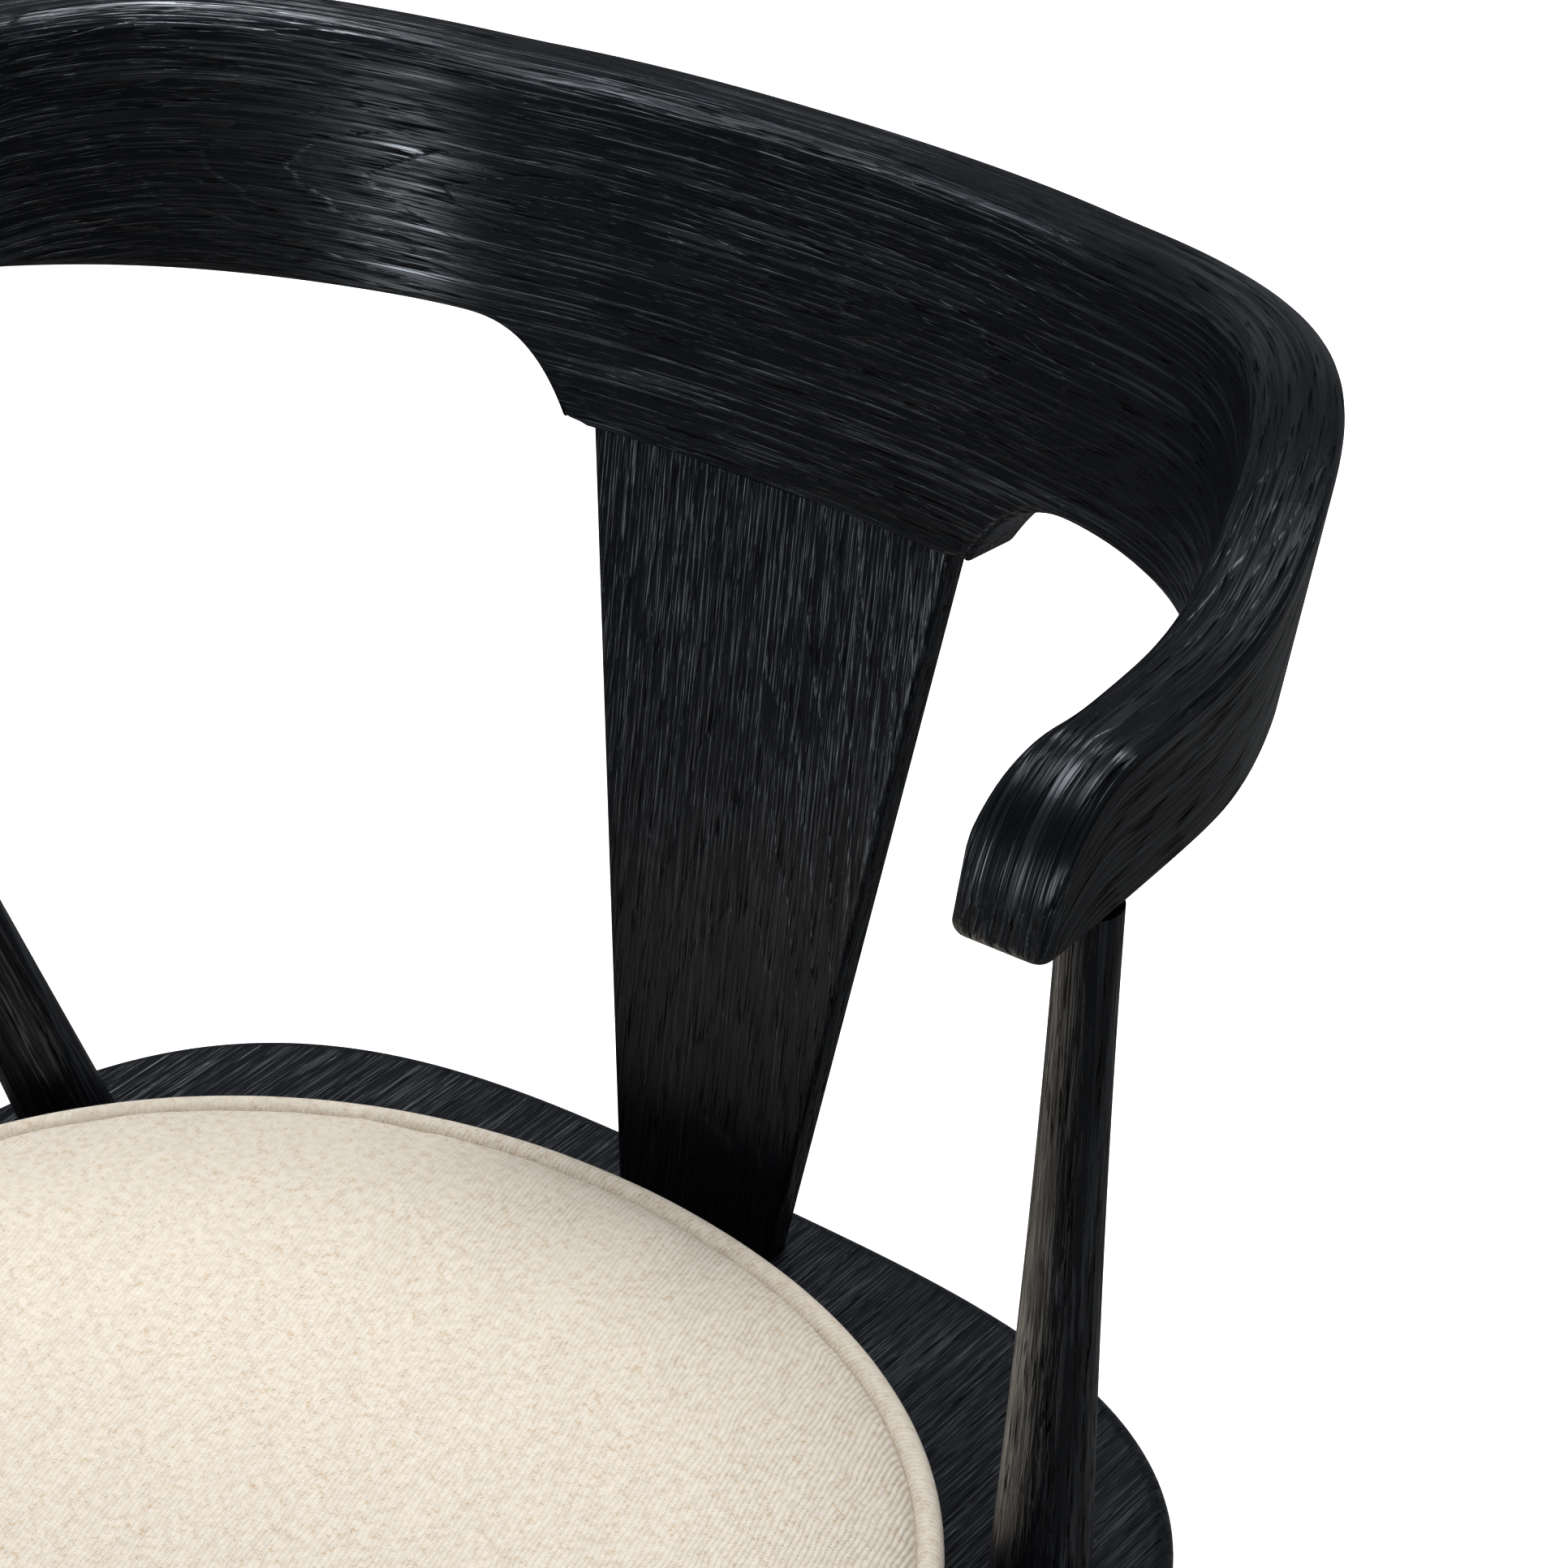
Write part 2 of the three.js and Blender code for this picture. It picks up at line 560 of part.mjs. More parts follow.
for (const [side, sign] of Object.entries(SIDES)) {
  for (const [end, topY, footY] of [
    ["front", LEG_FRONT_TOP_Y, LEG_FRONT_FOOT_Y],
    ["back", LEG_BACK_TOP_Y, LEG_BACK_FOOT_Y],
  ]) {
    const foot = v(sign * LEG_FOOT_X, footY, GLIDE_THICK + GAP);
    const top = v(sign * LEG_TOP_X, topY, battenUnder);
    const length = foot.distanceTo(top);
    const along = top.clone().sub(foot).normalize();
    const at = (distance) => foot.clone().addScaledVector(along, distance);
    const bellyAt = LEG_SPARE + length * LEG_BELLY_AT;
    const [swellAt, swelled] = LEG_SWELL;
    const [easeRun, eased] = LEG_EASE;
    const shaft = turned(
      [
        [0, 0],
        [LEG_FOOT_R, 0],
        [LEG_FOOT_R, LEG_SPARE],
        [LEG_FOOT_R + (LEG_BELLY_R - LEG_FOOT_R) * swelled, LEG_SPARE + length * swellAt],
        [LEG_BELLY_R, bellyAt],
        [LEG_BELLY_R - eased, bellyAt + length * easeRun],
        [LEG_SHOULDER_R, length + LEG_SPARE],
        [LEG_SHOULDER_R, length + 2 * LEG_SPARE],
        [0, length + 2 * LEG_SPARE],
      ],
      at(-LEG_SPARE),
      top,
      20,
    );
    const name = `leg_${end}_${side}`;
    const tenonEnd = at(length + (BATTEN_THICK + GAP + LEG_TENON_IN_SEAT) / along.z);
    const tenon = peg(at(length - LEG_MORTISE_RUN), tenonEnd, LEG_TENON_R);
    add(name, between(shaft, GLIDE_THICK + GAP, battenUnder - GAP).add(tenon), BLACK_OAK);
    cut(`seat_batten_${side}`, holeFor(at(length - LEG_MORTISE_RUN), tenonEnd, LEG_TENON_R));
    cut("seat_board", holeFor(at(length - LEG_MORTISE_RUN), tenonEnd, LEG_TENON_R));

    // A nylon glide with a stem pressed into the foot.
    const floor = v(foot.x, foot.y, 0);
    const stem = [v(foot.x, foot.y, GLIDE_THICK - 1), v(foot.x, foot.y, GLIDE_THICK + GLIDE_STEM)];
    const disc = turned(
      [
        [0, 0],
        [GLIDE_R - 1.5, 0],
        [GLIDE_R, 1.5],
        [GLIDE_R, GLIDE_THICK],
        [0, GLIDE_THICK],
      ],
      floor,
      stem[1],
      20,
    );
    add(`glide_${end}_${side}`, disc.add(peg(...stem, GLIDE_STEM_R, 12)), NYLON);
    cut(name, holeFor(stem[0], stem[1], GLIDE_STEM_R, 12));
  }
}

/** A countersunk screw standing upwards, its head at the given point. */
function screw(head, segments = 12) {
  return turned(
    [
      [0, 0],
      [SCREW_HEAD_R, 0],
      [SCREW_R, SCREW_HEAD],
      [SCREW_R, SCREW_LENGTH - SCREW_POINT],
      [0, SCREW_LENGTH],
    ],
    head,
    head.clone().add(v(0, 0, 1)),
    segments,
  );
}

/** The countersunk hole that clears such a screw. */
function screwHole(head, segments = 12) {
  return turned(
    [
      [0, -GAP],
      [SCREW_HEAD_R + HOLE_GAP, -GAP],
      [SCREW_HEAD_R + HOLE_GAP, HOLE_GAP],
      [SCREW_R + HOLE_GAP, SCREW_HEAD + HOLE_GAP],
      [SCREW_R + HOLE_GAP, SCREW_LENGTH + BLIND_GAP],
      [0, SCREW_LENGTH + BLIND_GAP],
    ],
    head,
    head.clone().add(v(0, 0, 1)),
    segments,
  );
}
for (const [side, sign] of Object.entries(SIDES)) {
  for (const [place, y] of Object.entries(SCREW_Y)) {
    const head = v(sign * BATTEN_X, y, battenUnder + GAP);
    add(`batten_screw_${place}_${side}`, screw(head), STEEL);
    cut(`seat_batten_${side}`, screwHole(head));
    cut("seat_board", screwHole(head));
  }
}

// ---------------------------------------------------------------------------
// Cushion: board, foam, top panel, boxing and welt
// ---------------------------------------------------------------------------
/** Radius of the cushion's outline at an angle from straight back. */
function cushionRadius(angle, inset) {
  return CUSHION_R - inset - CUSHION_FLAT * Math.cos(3 * angle);
}

/** A ring around the cushion at an inset and a height above the seat board. */
function cushionRing(inset, z) {
  const ring = [];
  for (let i = 0; i < CUSHION_SEGMENTS; i += 1) {
    const angle = (2 * Math.PI * i) / CUSHION_SEGMENTS;
    const r = Math.max(cushionRadius(angle, inset), 1);
    ring.push(v(r * Math.sin(angle), r * Math.cos(angle), SEAT_TOP + z));
  }
  return ring;
}

/** A ring at a share of the outline's radius, for the crowned surfaces. */
function crownRing(share, inset, z) {
  return cushionRing(inset, z).map((p) => v(p.x * share, p.y * share, p.z));
}
const boxingInset = WELT_R + GAP + BOXING_INSET;
const boardInset = boxingInset + FABRIC + 2 * GAP;
const boardLow = GAP;
const boardHigh = boardLow + CUSHION_BOARD;
add("cushion_board", skin([cushionRing(boardInset, boardLow), cushionRing(boardInset, boardHigh)]), PLYWOOD);

const boxingTop = WELT_Z - WELT_R - GAP;
add(
  "cushion_boxing",
  skin(
    [
      cushionRing(boxingInset, GAP),
      cushionRing(boxingInset, boxingTop),
      cushionRing(boxingInset + FABRIC, boxingTop),
      cushionRing(boxingInset + FABRIC, GAP),
    ],
    true,
  ),
  CLOTH,
);

const weltRings = [];
for (let i = 0; i < WELT_SIDES; i += 1) {
  const angle = (2 * Math.PI * i) / WELT_SIDES;
  weltRings.push(cushionRing(WELT_R - WELT_R * Math.cos(angle), WELT_Z + WELT_R * Math.sin(angle)));
}
add("cushion_welt", skin(weltRings, true), CLOTH);

/** Height of the crowned top at a share of the radius. */
const crown = (share) => WELT_Z + PANEL_LIFT + CUSHION_CROWN * (1 - share ** CROWN_POWER);
const panelInset = 2 * WELT_R + GAP;
const panelOuter = PANEL_SHARES.map((share) => crownRing(share, panelInset, crown(share)));
const panelInner = PANEL_SHARES.map((share) => crownRing(share, panelInset, crown(share) - FABRIC));
const topPanel = skin([...panelInner.reverse(), ...panelOuter].reverse(), true);
// The middle of the panel is closed by lofting across the smallest ring.
const panelHub = skin([panelInner[panelInner.length - 1], panelOuter[0]]);
add("cushion_top_panel", topPanel.add(panelHub), CLOTH);

const foamLow = boardHigh + GAP;
const foamTop = (share) => crown(share) - FABRIC - GAP;
const foamSide = [cushionRing(boardInset, foamLow), cushionRing(boardInset, boxingTop - GAP)];
const foamCrown = PANEL_SHARES.map((share) => crownRing(share, panelInset + 1, foamTop(share))).reverse();
add("cushion_foam", skin([...foamSide, ...foamCrown]), FOAM);

// Four bolts through the seat board into tee nuts in the cushion board.
for (const [side, sign] of Object.entries(SIDES)) {
  for (const [end, y] of Object.entries({ front: -PAD_BOLT_PITCH / 2, back: PAD_BOLT_PITCH / 2 })) {
    const x = (sign * PAD_BOLT_PITCH) / 2;
    const low = v(x, y, seatUnder - PAD_BOLT_HEAD - GAP);
    const high = v(x, y, SEAT_TOP + boardHigh);
    const length = high.z - low.z - 1;
    const bolt = turned(
      [
        [0, 0],
        [PAD_BOLT_HEAD_R - 1, 0],
        [PAD_BOLT_HEAD_R, PAD_BOLT_HEAD],
        [PAD_BOLT_R, PAD_BOLT_HEAD],
        [PAD_BOLT_R, length],
        [0, length],
      ],
      low,
      high,
      16,
    );
    add(`cushion_bolt_${end}_${side}`, bolt, STEEL);
    cut("seat_board", peg(v(x, y, seatUnder - 5), v(x, y, SEAT_TOP + 5), PAD_BOLT_R + HOLE_GAP));

    const flange = [v(x, y, high.z + GAP), v(x, y, high.z + GAP + PAD_NUT_FLANGE)];
    const barrel = [v(x, y, SEAT_TOP + boardLow + 1), flange[1]];
    const bore = [v(x, y, SEAT_TOP - 5), v(x, y, flange[1].z + 5)];
    const nut = peg(...flange, PAD_NUT_FLANGE_R, 20)
      .add(peg(...barrel, PAD_NUT_R, 20))
      .subtract(peg(...bore, PAD_BOLT_R + HOLE_GAP));
    add(`cushion_tee_nut_${end}_${side}`, nut, STEEL);
    cut("cushion_board", peg(bore[0], bore[1], PAD_NUT_R + HOLE_GAP, 20));
    const pocketTop = v(x, y, flange[1].z + GAP);
    cut("cushion_foam", peg(v(x, y, SEAT_TOP), pocketTop, PAD_NUT_FLANGE_R + HOLE_GAP, 20));
  }
}

// ---------------------------------------------------------------------------
// Assembly, with the origin on the floor under the middle of the bounding box
// ---------------------------------------------------------------------------
const group = new THREE.Group();
group.name = "wooden_armchair";
for (const [name, { body, material }] of pieces) {
  const mesh = new THREE.Mesh(geometryOf(body), material());
  mesh.name = name;
  group.add(mesh);
}
const whole = new THREE.Box3().setFromObject(group);
const middle = whole.getCenter(new THREE.Vector3());
for (const mesh of group.children) {
  mesh.geometry.translate(-middle.x, -middle.y, -whole.min.z);
}

export default group;
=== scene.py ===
"""Looks of the black oak armchair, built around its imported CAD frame.

Lengths are metres and +Z is up. The sitter faces -Y. Names ending in _MM and the
size fields of the classes are millimetres, as on the workshop drawing.
"""

import logging
import math
from dataclasses import dataclass, field
from enum import Enum

import bmesh
import bpy
import numpy as np
from mathutils import Matrix, Vector


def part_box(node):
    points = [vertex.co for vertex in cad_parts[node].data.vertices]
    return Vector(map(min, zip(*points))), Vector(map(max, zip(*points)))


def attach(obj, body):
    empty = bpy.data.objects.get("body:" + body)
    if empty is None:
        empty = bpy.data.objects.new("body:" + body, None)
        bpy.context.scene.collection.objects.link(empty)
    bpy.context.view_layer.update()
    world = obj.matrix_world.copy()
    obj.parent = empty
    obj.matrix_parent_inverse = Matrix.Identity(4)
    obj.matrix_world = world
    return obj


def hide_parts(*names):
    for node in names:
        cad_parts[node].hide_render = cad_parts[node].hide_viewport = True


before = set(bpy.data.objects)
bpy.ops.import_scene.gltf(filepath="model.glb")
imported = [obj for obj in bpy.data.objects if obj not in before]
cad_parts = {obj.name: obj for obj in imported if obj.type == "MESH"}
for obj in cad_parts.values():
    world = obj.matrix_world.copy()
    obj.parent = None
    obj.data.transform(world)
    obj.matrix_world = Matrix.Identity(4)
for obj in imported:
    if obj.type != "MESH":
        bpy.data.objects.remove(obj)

LOG = logging.getLogger("armchair")
MM = 0.001
ROOT = "root"
GRAIN = "grain"
WEAR = "wear"
ROUND = "round"
TWILL_REPEAT = 4.0  # yarns in one repeat of the two-over, two-under twill
SIDES = {"left": -1, "right": 1}
# A Mix node's two inputs and its output, for each kind of value
MIX_SOCKETS = {"FLOAT": (2, 3, 0), "VECTOR": (4, 5, 1), "RGBA": (6, 7, 2)}

Socket = bpy.types.NodeSocket
Colour = tuple[float, float, float]
Waves = tuple[float, float, float]

# ---------------------------------------------------------------------------
# Shared sizes that several sub-assemblies meet at, in millimetres
# ---------------------------------------------------------------------------
SEAT_TOP_MM = 420.0
SEAT_THICK_MM = 26.0
SEAT_BACK_EDGE_MM = 255.0
RAIL_REFERENCE_MM = 322.5
ARM_BOTTOM_MM = 312.0
HAIRLINE_MM = 0.12


def cad_shift() -> float:
    """Returns how far the frame's Y lies from the drawing's Y, in millimetres."""
    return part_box("seat_board")[1].y / MM - SEAT_BACK_EDGE_MM


SHIFT_MM = cad_shift()


def ease(value: np.ndarray | float) -> np.ndarray | float:
    """Smooth step of a value, held to the range from 0 to 1."""
    held = np.clip(value, 0.0, 1.0)
    return held * held * (3 - 2 * held)


def placed(points_mm: np.ndarray) -> np.ndarray:
    """Turns drawing points in millimetres into frame points in metres.

    Args:
        points_mm: Points whose last axis is x, y, z on the drawing.

    Returns:
        The same points in the frame, in metres.
    """
    return (points_mm + np.array([0.0, SHIFT_MM, 0.0])) * MM


# ---------------------------------------------------------------------------
# Meshes
# ---------------------------------------------------------------------------
@dataclass
class Loft:
    """A closed skin over rings of points, with its grain coordinates.

    Args:
        rings: Points of shape (rings, points, 3) in metres.
        grain: Along, across and depth for each point, in the same shape.
        wear: How much each point is rubbed by hands, from 0 to 1.
    """

    rings: np.ndarray
    grain: np.ndarray | None = None
    wear: np.ndarray | None = None

    def faces(self) -> list[list[int]]:
        """Quads between the rings, and one flat face on each end."""
        count, size = self.rings.shape[:2]
        index = np.arange(count * size).reshape(count, size)
        here, there = index[:-1], index[1:]
        quads = np.stack(
            [here, np.roll(here, -1, 1), np.roll(there, -1, 1), there], axis=-1
        )
        faces = quads.reshape(-1, 4).tolist()
        faces.append(index[0][::-1].tolist())
        faces.append(index[-1].tolist())
        return faces

    def build(self, name: str, crease_degrees: float = 38.0) -> bpy.types.Object:
        """Makes the object.

        Args:
            name: The piece's name.
            crease_degrees: Faces that meet at more than this stay sharp.

        Returns:
            The new object, linked to the scene.
        """
        mesh = bpy.data.meshes.new(name)
        mesh.from_pydata(self.rings.reshape(-1, 3).tolist(), [], self.faces())
        if self.grain is not None:
            store = mesh.attributes.new(GRAIN, "FLOAT_VECTOR", "POINT")
            store.data.foreach_set("vector", self.grain.astype(np.float32).ravel())
        if self.wear is not None:
            store = mesh.attributes.new(WEAR, "FLOAT", "POINT")
            store.data.foreach_set("value", self.wear.astype(np.float32).ravel())
        face_outwards(mesh)
        mesh.shade_smooth()
        mesh.set_sharp_from_angle(angle=math.radians(crease_degrees))
        return link(name, mesh)


def face_outwards(mesh: bpy.types.Mesh) -> None:
    """Turns every face of a closed mesh outwards."""
    work = bmesh.new()
    work.from_mesh(mesh)
    bmesh.ops.recalc_face_normals(work, faces=work.faces[:])
    if work.calc_volume(signed=True) < 0:
        bmesh.ops.reverse_faces(work, faces=work.faces[:])
    work.to_mesh(mesh)
    work.free()
    mesh.update()


def link(name: str, mesh: bpy.types.Mesh) -> bpy.types.Object:
    """Makes an object of a mesh and links it to the scene."""
    made = bpy.data.objects.new(name, mesh)
    bpy.context.scene.collection.objects.link(made)
    return made


def dress(
    piece: bpy.types.Object, finish: bpy.types.Material, slot: str, *nodes: str
) -> bpy.types.Object:
    """Gives a piece its finish and says what it stands for.

    Args:
        piece: The finished object.
        finish: Its material.
        slot: A material slot's name; not used.
        nodes: The CAD nodes that it stands for.

    Returns:
        The same object.
    """
    piece.data.materials.clear()
    piece.data.materials.append(finish)
    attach(piece, ROOT)
    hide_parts(*nodes)
    LOG.info("%s: %d faces, for %s", piece.name, len(piece.data.polygons), nodes)
    return piece


def frozen(piece: bpy.types.Object) -> bpy.types.Object:
    """Replaces a piece by the plain mesh of its evaluated modifiers.

    Args:
        piece: An object with live modifiers.

    Returns:
        The same object, with a plain mesh and no modifier.
    """
    bpy.context.view_layer.update()
    graph = bpy.context.evaluated_depsgraph_get()
    mesh = bpy.data.meshes.new_from_object(
        piece.evaluated_get(graph), preserve_all_data_layers=True, depsgraph=graph
    )
    piece.modifiers.clear()
    piece.data = mesh
    return piece


def through_points(at: list[float], values: list[float], where: np.ndarray) -> np.ndarray:
    """A smooth polynomial through a few profile sizes.

    Args:
        at: Shares of the length where the sizes are given.
        values: The sizes there.
        where: Shares where the profile is wanted.

    Returns:
        The sizes at those shares.
    """
    return np.polyval(np.polyfit(at, values, len(at) - 1), where)


# ---------------------------------------------------------------------------
# Shader graphs
# ---------------------------------------------------------------------------
class Graph:
    """A material's node tree, written as plain calls."""

    def __init__(self, name: str) -> None:
        """Starts a material with one Principled shader."""
        self.material = bpy.data.materials.new(name)
        self.material.use_nodes = True
        self.tree = self.material.node_tree
        self.tree.nodes.clear()
        self.shader = self.add("ShaderNodeBsdfPrincipled")
        output = self.add("ShaderNodeOutputMaterial")
        self.tree.links.new(self.shader.outputs["BSDF"], output.inputs["Surface"])

    def add(self, kind: str, **settings: object) -> bpy.types.Node:
        """Adds a node and sets its options."""
        node = self.tree.nodes.new(kind)
        for name, value in settings.items():
            setattr(node, name, value)
        return node

    def put(self, socket: Socket, value: object) -> None:
        """Links a socket to another, or sets its number or colour."""
        if isinstance(value, bpy.types.NodeSocket):
            self.tree.links.new(value, socket)
        elif isinstance(value, tuple) and len(value) == 3 and socket.type == "RGBA":
            socket.default_value = (*value, 1.0)
        else:
            socket.default_value = value

    def surface(self, **values: object) -> None:
        """Sets or links the shader's own sockets, with _ for each space in a name."""
        for name, value in values.items():
            self.put(self.shader.inputs[name.replace("_", " ")], value)

    def math(self, operation: str, *values: object, clamp: bool = False) -> Socket:
        """One step of arithmetic."""
        node = self.add("ShaderNodeMath", operation=operation, use_clamp=clamp)
        for socket, value in zip(node.inputs, values):
            self.put(socket, value)
        return node.outputs["Value"]

    def scaled(self, vector: Socket, by: tuple[float, float, float]) -> Socket:
        """A vector times a fixed vector."""
        node = self.add("ShaderNodeVectorMath", operation="MULTIPLY")
        self.put(node.inputs[0], vector)
        node.inputs[1].default_value = by
        return node.outputs["Vector"]

    def parts(self, vector: Socket) -> tuple[Socket, Socket, Socket]:
        """The three parts of a vector."""
        node = self.add("ShaderNodeSeparateXYZ")
        self.put(node.inputs["Vector"], vector)
        return node.outputs["X"], node.outputs["Y"], node.outputs["Z"]

    def joined(self, x: object, y: object, z: object) -> Socket:
        """A vector of three parts."""
        node = self.add("ShaderNodeCombineXYZ")
        for socket, value in zip(node.inputs, (x, y, z)):
            self.put(socket, value)
        return node.outputs["Vector"]

    def object_place(self) -> Socket:
        """The place on the piece, in metres."""
        return self.add("ShaderNodeTexCoord").outputs["Object"]

    def carried(self, name: str, output: str = "Vector") -> Socket:
        """An attribute that the mesh carries."""
        return self.add("ShaderNodeAttribute", attribute_name=name).outputs[output]

    def noise(
        self,
        place: Socket,
        per_metre: tuple[float, float, float],
        detail: float = 2.0,
        roughness: float = 0.5,
    ) -> Socket:
        """Soft noise from 0 to 1.

        Args:
            place: Where it is read, in metres.
            per_metre: Waves in a metre along each axis.
            detail: How many finer layers it has.
            roughness: How strong the finer layers are.

        Returns:
            The noise.
        """
        node = self.add("ShaderNodeTexNoise", noise_dimensions="3D")
        self.put(node.inputs["Vector"], self.scaled(place, per_metre))
        node.inputs["Scale"].default_value = 1.0
        node.inputs["Detail"].default_value = detail
        node.inputs["Roughness"].default_value = roughness
        return node.outputs["Fac"]

    def speckle(self, place: Socket) -> Socket:
        """One random number for each whole-number cell."""
        cell = self.add("ShaderNodeVectorMath", operation="FLOOR")
        self.put(cell.inputs[0], place)
        node = self.add("ShaderNodeTexWhiteNoise", noise_dimensions="3D")
        self.put(node.inputs["Vector"], cell.outputs["Vector"])
        return node.outputs["Value"]

    def spread(
        self,
        value: Socket,
        low: float,
        high: float,
        to_low: float = 0.0,
        to_high: float = 1.0,
    ) -> Socket:
        """Maps a range to another, smoothly and held at both ends."""
        node = self.add("ShaderNodeMapRange", interpolation_type="SMOOTHSTEP")
        self.put(node.inputs["Value"], value)
        node.inputs["From Min"].default_value = low
        node.inputs["From Max"].default_value = high
        node.inputs["To Min"].default_value = to_low
        node.inputs["To Max"].default_value = to_high
        return node.outputs["Result"]

    def mix(
        self, share: object, first: object, second: object, kind: str = "RGBA"
    ) -> Socket:
        """Two values of a kind in MIX_SOCKETS, mixed by a share."""
        node = self.add("ShaderNodeMix", data_type=kind)
        one, other, result = MIX_SOCKETS[kind]
        self.put(node.inputs["Factor"], share)
        self.put(node.inputs[one], first)
        self.put(node.inputs[other], second)
        return node.outputs[result]

    def bump(self, height: Socket, depth: float, under: Socket | None = None) -> Socket:
        """A normal raised by a height of 0 to 1 times a depth in metres."""
        node = self.add("ShaderNodeBump")
        node.inputs["Strength"].default_value = 1.0
        node.inputs["Distance"].default_value = depth
        self.put(node.inputs["Height"], height)
        if under is not None:
            self.put(node.inputs["Normal"], under)
        return node.outputs["Normal"]


class GrainSource(Enum):
    """Where a piece of wood takes the direction of its grain from."""

    CARRIED = "carried"
    FRONT_TO_BACK = "front_to_back"


@dataclass(frozen=True)
class BlackOak:
    """Open-grain oak, stained black and oiled to a satin.

    Lengths are metres. The grain is cut from a log whose heart lies below the
    face, so that the year rings run as long arches where the log tapers.
    """

    name: str
    source: GrainSource = GrainSource.CARRIED
    heart_across: float = 0.0
    heart_depth: float = 0.045
    taper: float = 0.16
    ring_pitch: float = 0.0046
    figure: float = 1.0
    stain: Colour = (0.0026, 0.0029, 0.0042)
    thin_stain: Colour = (0.0090, 0.0106, 0.0146)
    pore: Colour = (0.0010, 0.0011, 0.0014)
    shine_tint: tuple[float, float, float, float] = (0.84, 0.92, 1.0, 1.0)
    sway: float = 0.016
    sway_waves: Waves = (4.0, 26.0, 26.0)
    drift_waves: Waves = (9.0, 120.0, 120.0)
    vessel_waves: Waves = (55.0, 1450.0, 1450.0)
    strand_waves: Waves = (12.0, 680.0, 680.0)
    broad_waves: Waves = (7.0, 70.0, 70.0)
    patch_waves: Waves = (9.0, 45.0, 45.0)
    roughness: float = 0.22
    pore_depth: float = 0.00034
    ring_depth: float = 0.00015

    def place(self, graph: Graph) -> Socket:
        """Along, across and depth in the wood, in metres."""
        if self.source is GrainSource.CARRIED:
            return graph.carried(GRAIN)
        x, y, z = graph.parts(graph.object_place())
        return graph.joined(y, x, z)

    def rings(self, graph: Graph, place: Socket) -> Socket:
        """The share of a year's growth, from 0 to 1, at a place in the wood."""
        along, across, depth = graph.parts(place)
        sway = graph.noise(place, self.sway_waves)
        sway = graph.math("MULTIPLY", graph.math("SUBTRACT", sway, 0.5), self.sway)
        side = graph.math("SUBTRACT", graph.math("ADD", across, sway), self.heart_across)
        slope = graph.math("MULTIPLY", along, self.taper)
        down = graph.math("ADD", graph.math("ADD", depth, slope), self.heart_depth)
        radius = graph.math(
            "SQRT",
            graph.math(
                "ADD", graph.math("MULTIPLY", side, side), graph.math("MULTIPLY", down, down)
            ),
        )
        count = graph.math("DIVIDE", radius, self.ring_pitch)
        drift = graph.noise(place, self.drift_waves, detail=3.0)
        return graph.math("FRACT", graph.math("ADD", count, drift))

    def material(self) -> bpy.types.Material:
        """Builds the finish."""
        graph = Graph(self.name)
        place = self.place(graph)
        year = self.rings(graph, place)
        early = graph.math(
            "MULTIPLY", graph.spread(year, 0.0, 0.10), graph.spread(year, 0.16, 0.62, 1.0, 0.0)
        )
        fine = graph.noise(place, self.vessel_waves, detail=1.0, roughness=0.4)
        vessels = graph.spread(fine, 0.57, 0.64)
        strand = graph.noise(place, self.strand_waves, detail=2.0, roughness=0.55)
        strands = graph.spread(strand, 0.50, 0.64)
        ridges = graph.spread(strand, 0.49, 0.38)
        broad = graph.noise(place, self.broad_waves, detail=3.0)
        in_early = graph.math("MULTIPLY_ADD", early, 0.65, 0.35)
        pores = graph.math("MULTIPLY", vessels, in_early)
        dark = graph.math("MULTIPLY", strands, graph.math("MULTIPLY_ADD", early, 0.7, 0.3))
        rub = graph.carried(WEAR, "Fac")
        patch = graph.spread(graph.noise(place, self.patch_waves), 0.38, 0.62)
        shown = graph.math("MULTIPLY_ADD", patch, 0.70 * self.figure, 0.15 * self.figure)
        worn = graph.math("MULTIPLY", shown, ridges)
        thin = graph.math("MULTIPLY_ADD", rub, 0.25, worn, clamp=True)
        colour = graph.mix(thin, self.stain, self.thin_stain)
        colour = graph.mix(graph.math("MULTIPLY", dark, 0.85), colour, self.pore)
        colour = graph.mix(pores, colour, self.pore)
        satin = graph.math("MULTIPLY_ADD", broad, 0.10, self.roughness)
        satin = graph.math("MULTIPLY_ADD", rub, -0.05, satin)
        satin = graph.math("MULTIPLY_ADD", pores, 0.25, satin)
        satin = graph.math("MULTIPLY_ADD", dark, 0.16, satin)
        sunk = graph.math("MULTIPLY_ADD", dark, -0.55, graph.math("SUBTRACT", 1.0, pores))
        sunk = graph.math("MULTIPLY_ADD", ridges, 0.35, sunk)
        relief = graph.bump(graph.math("SUBTRACT", 1.0, early), self.ring_depth)
        shine = graph.math("MULTIPLY_ADD", worn, 0.60, 0.18)
        shine = graph.math("MULTIPLY", shine, graph.math("MULTIPLY_ADD", pores, -0.85, 1.0))
        graph.surface(
            Base_Color=colour,
            Roughness=satin,
            Specular_IOR_Level=shine,
            Specular_Tint=self.shine_tint,
            Normal=graph.bump(sunk, self.pore_depth, relief),
        )
        return graph.material


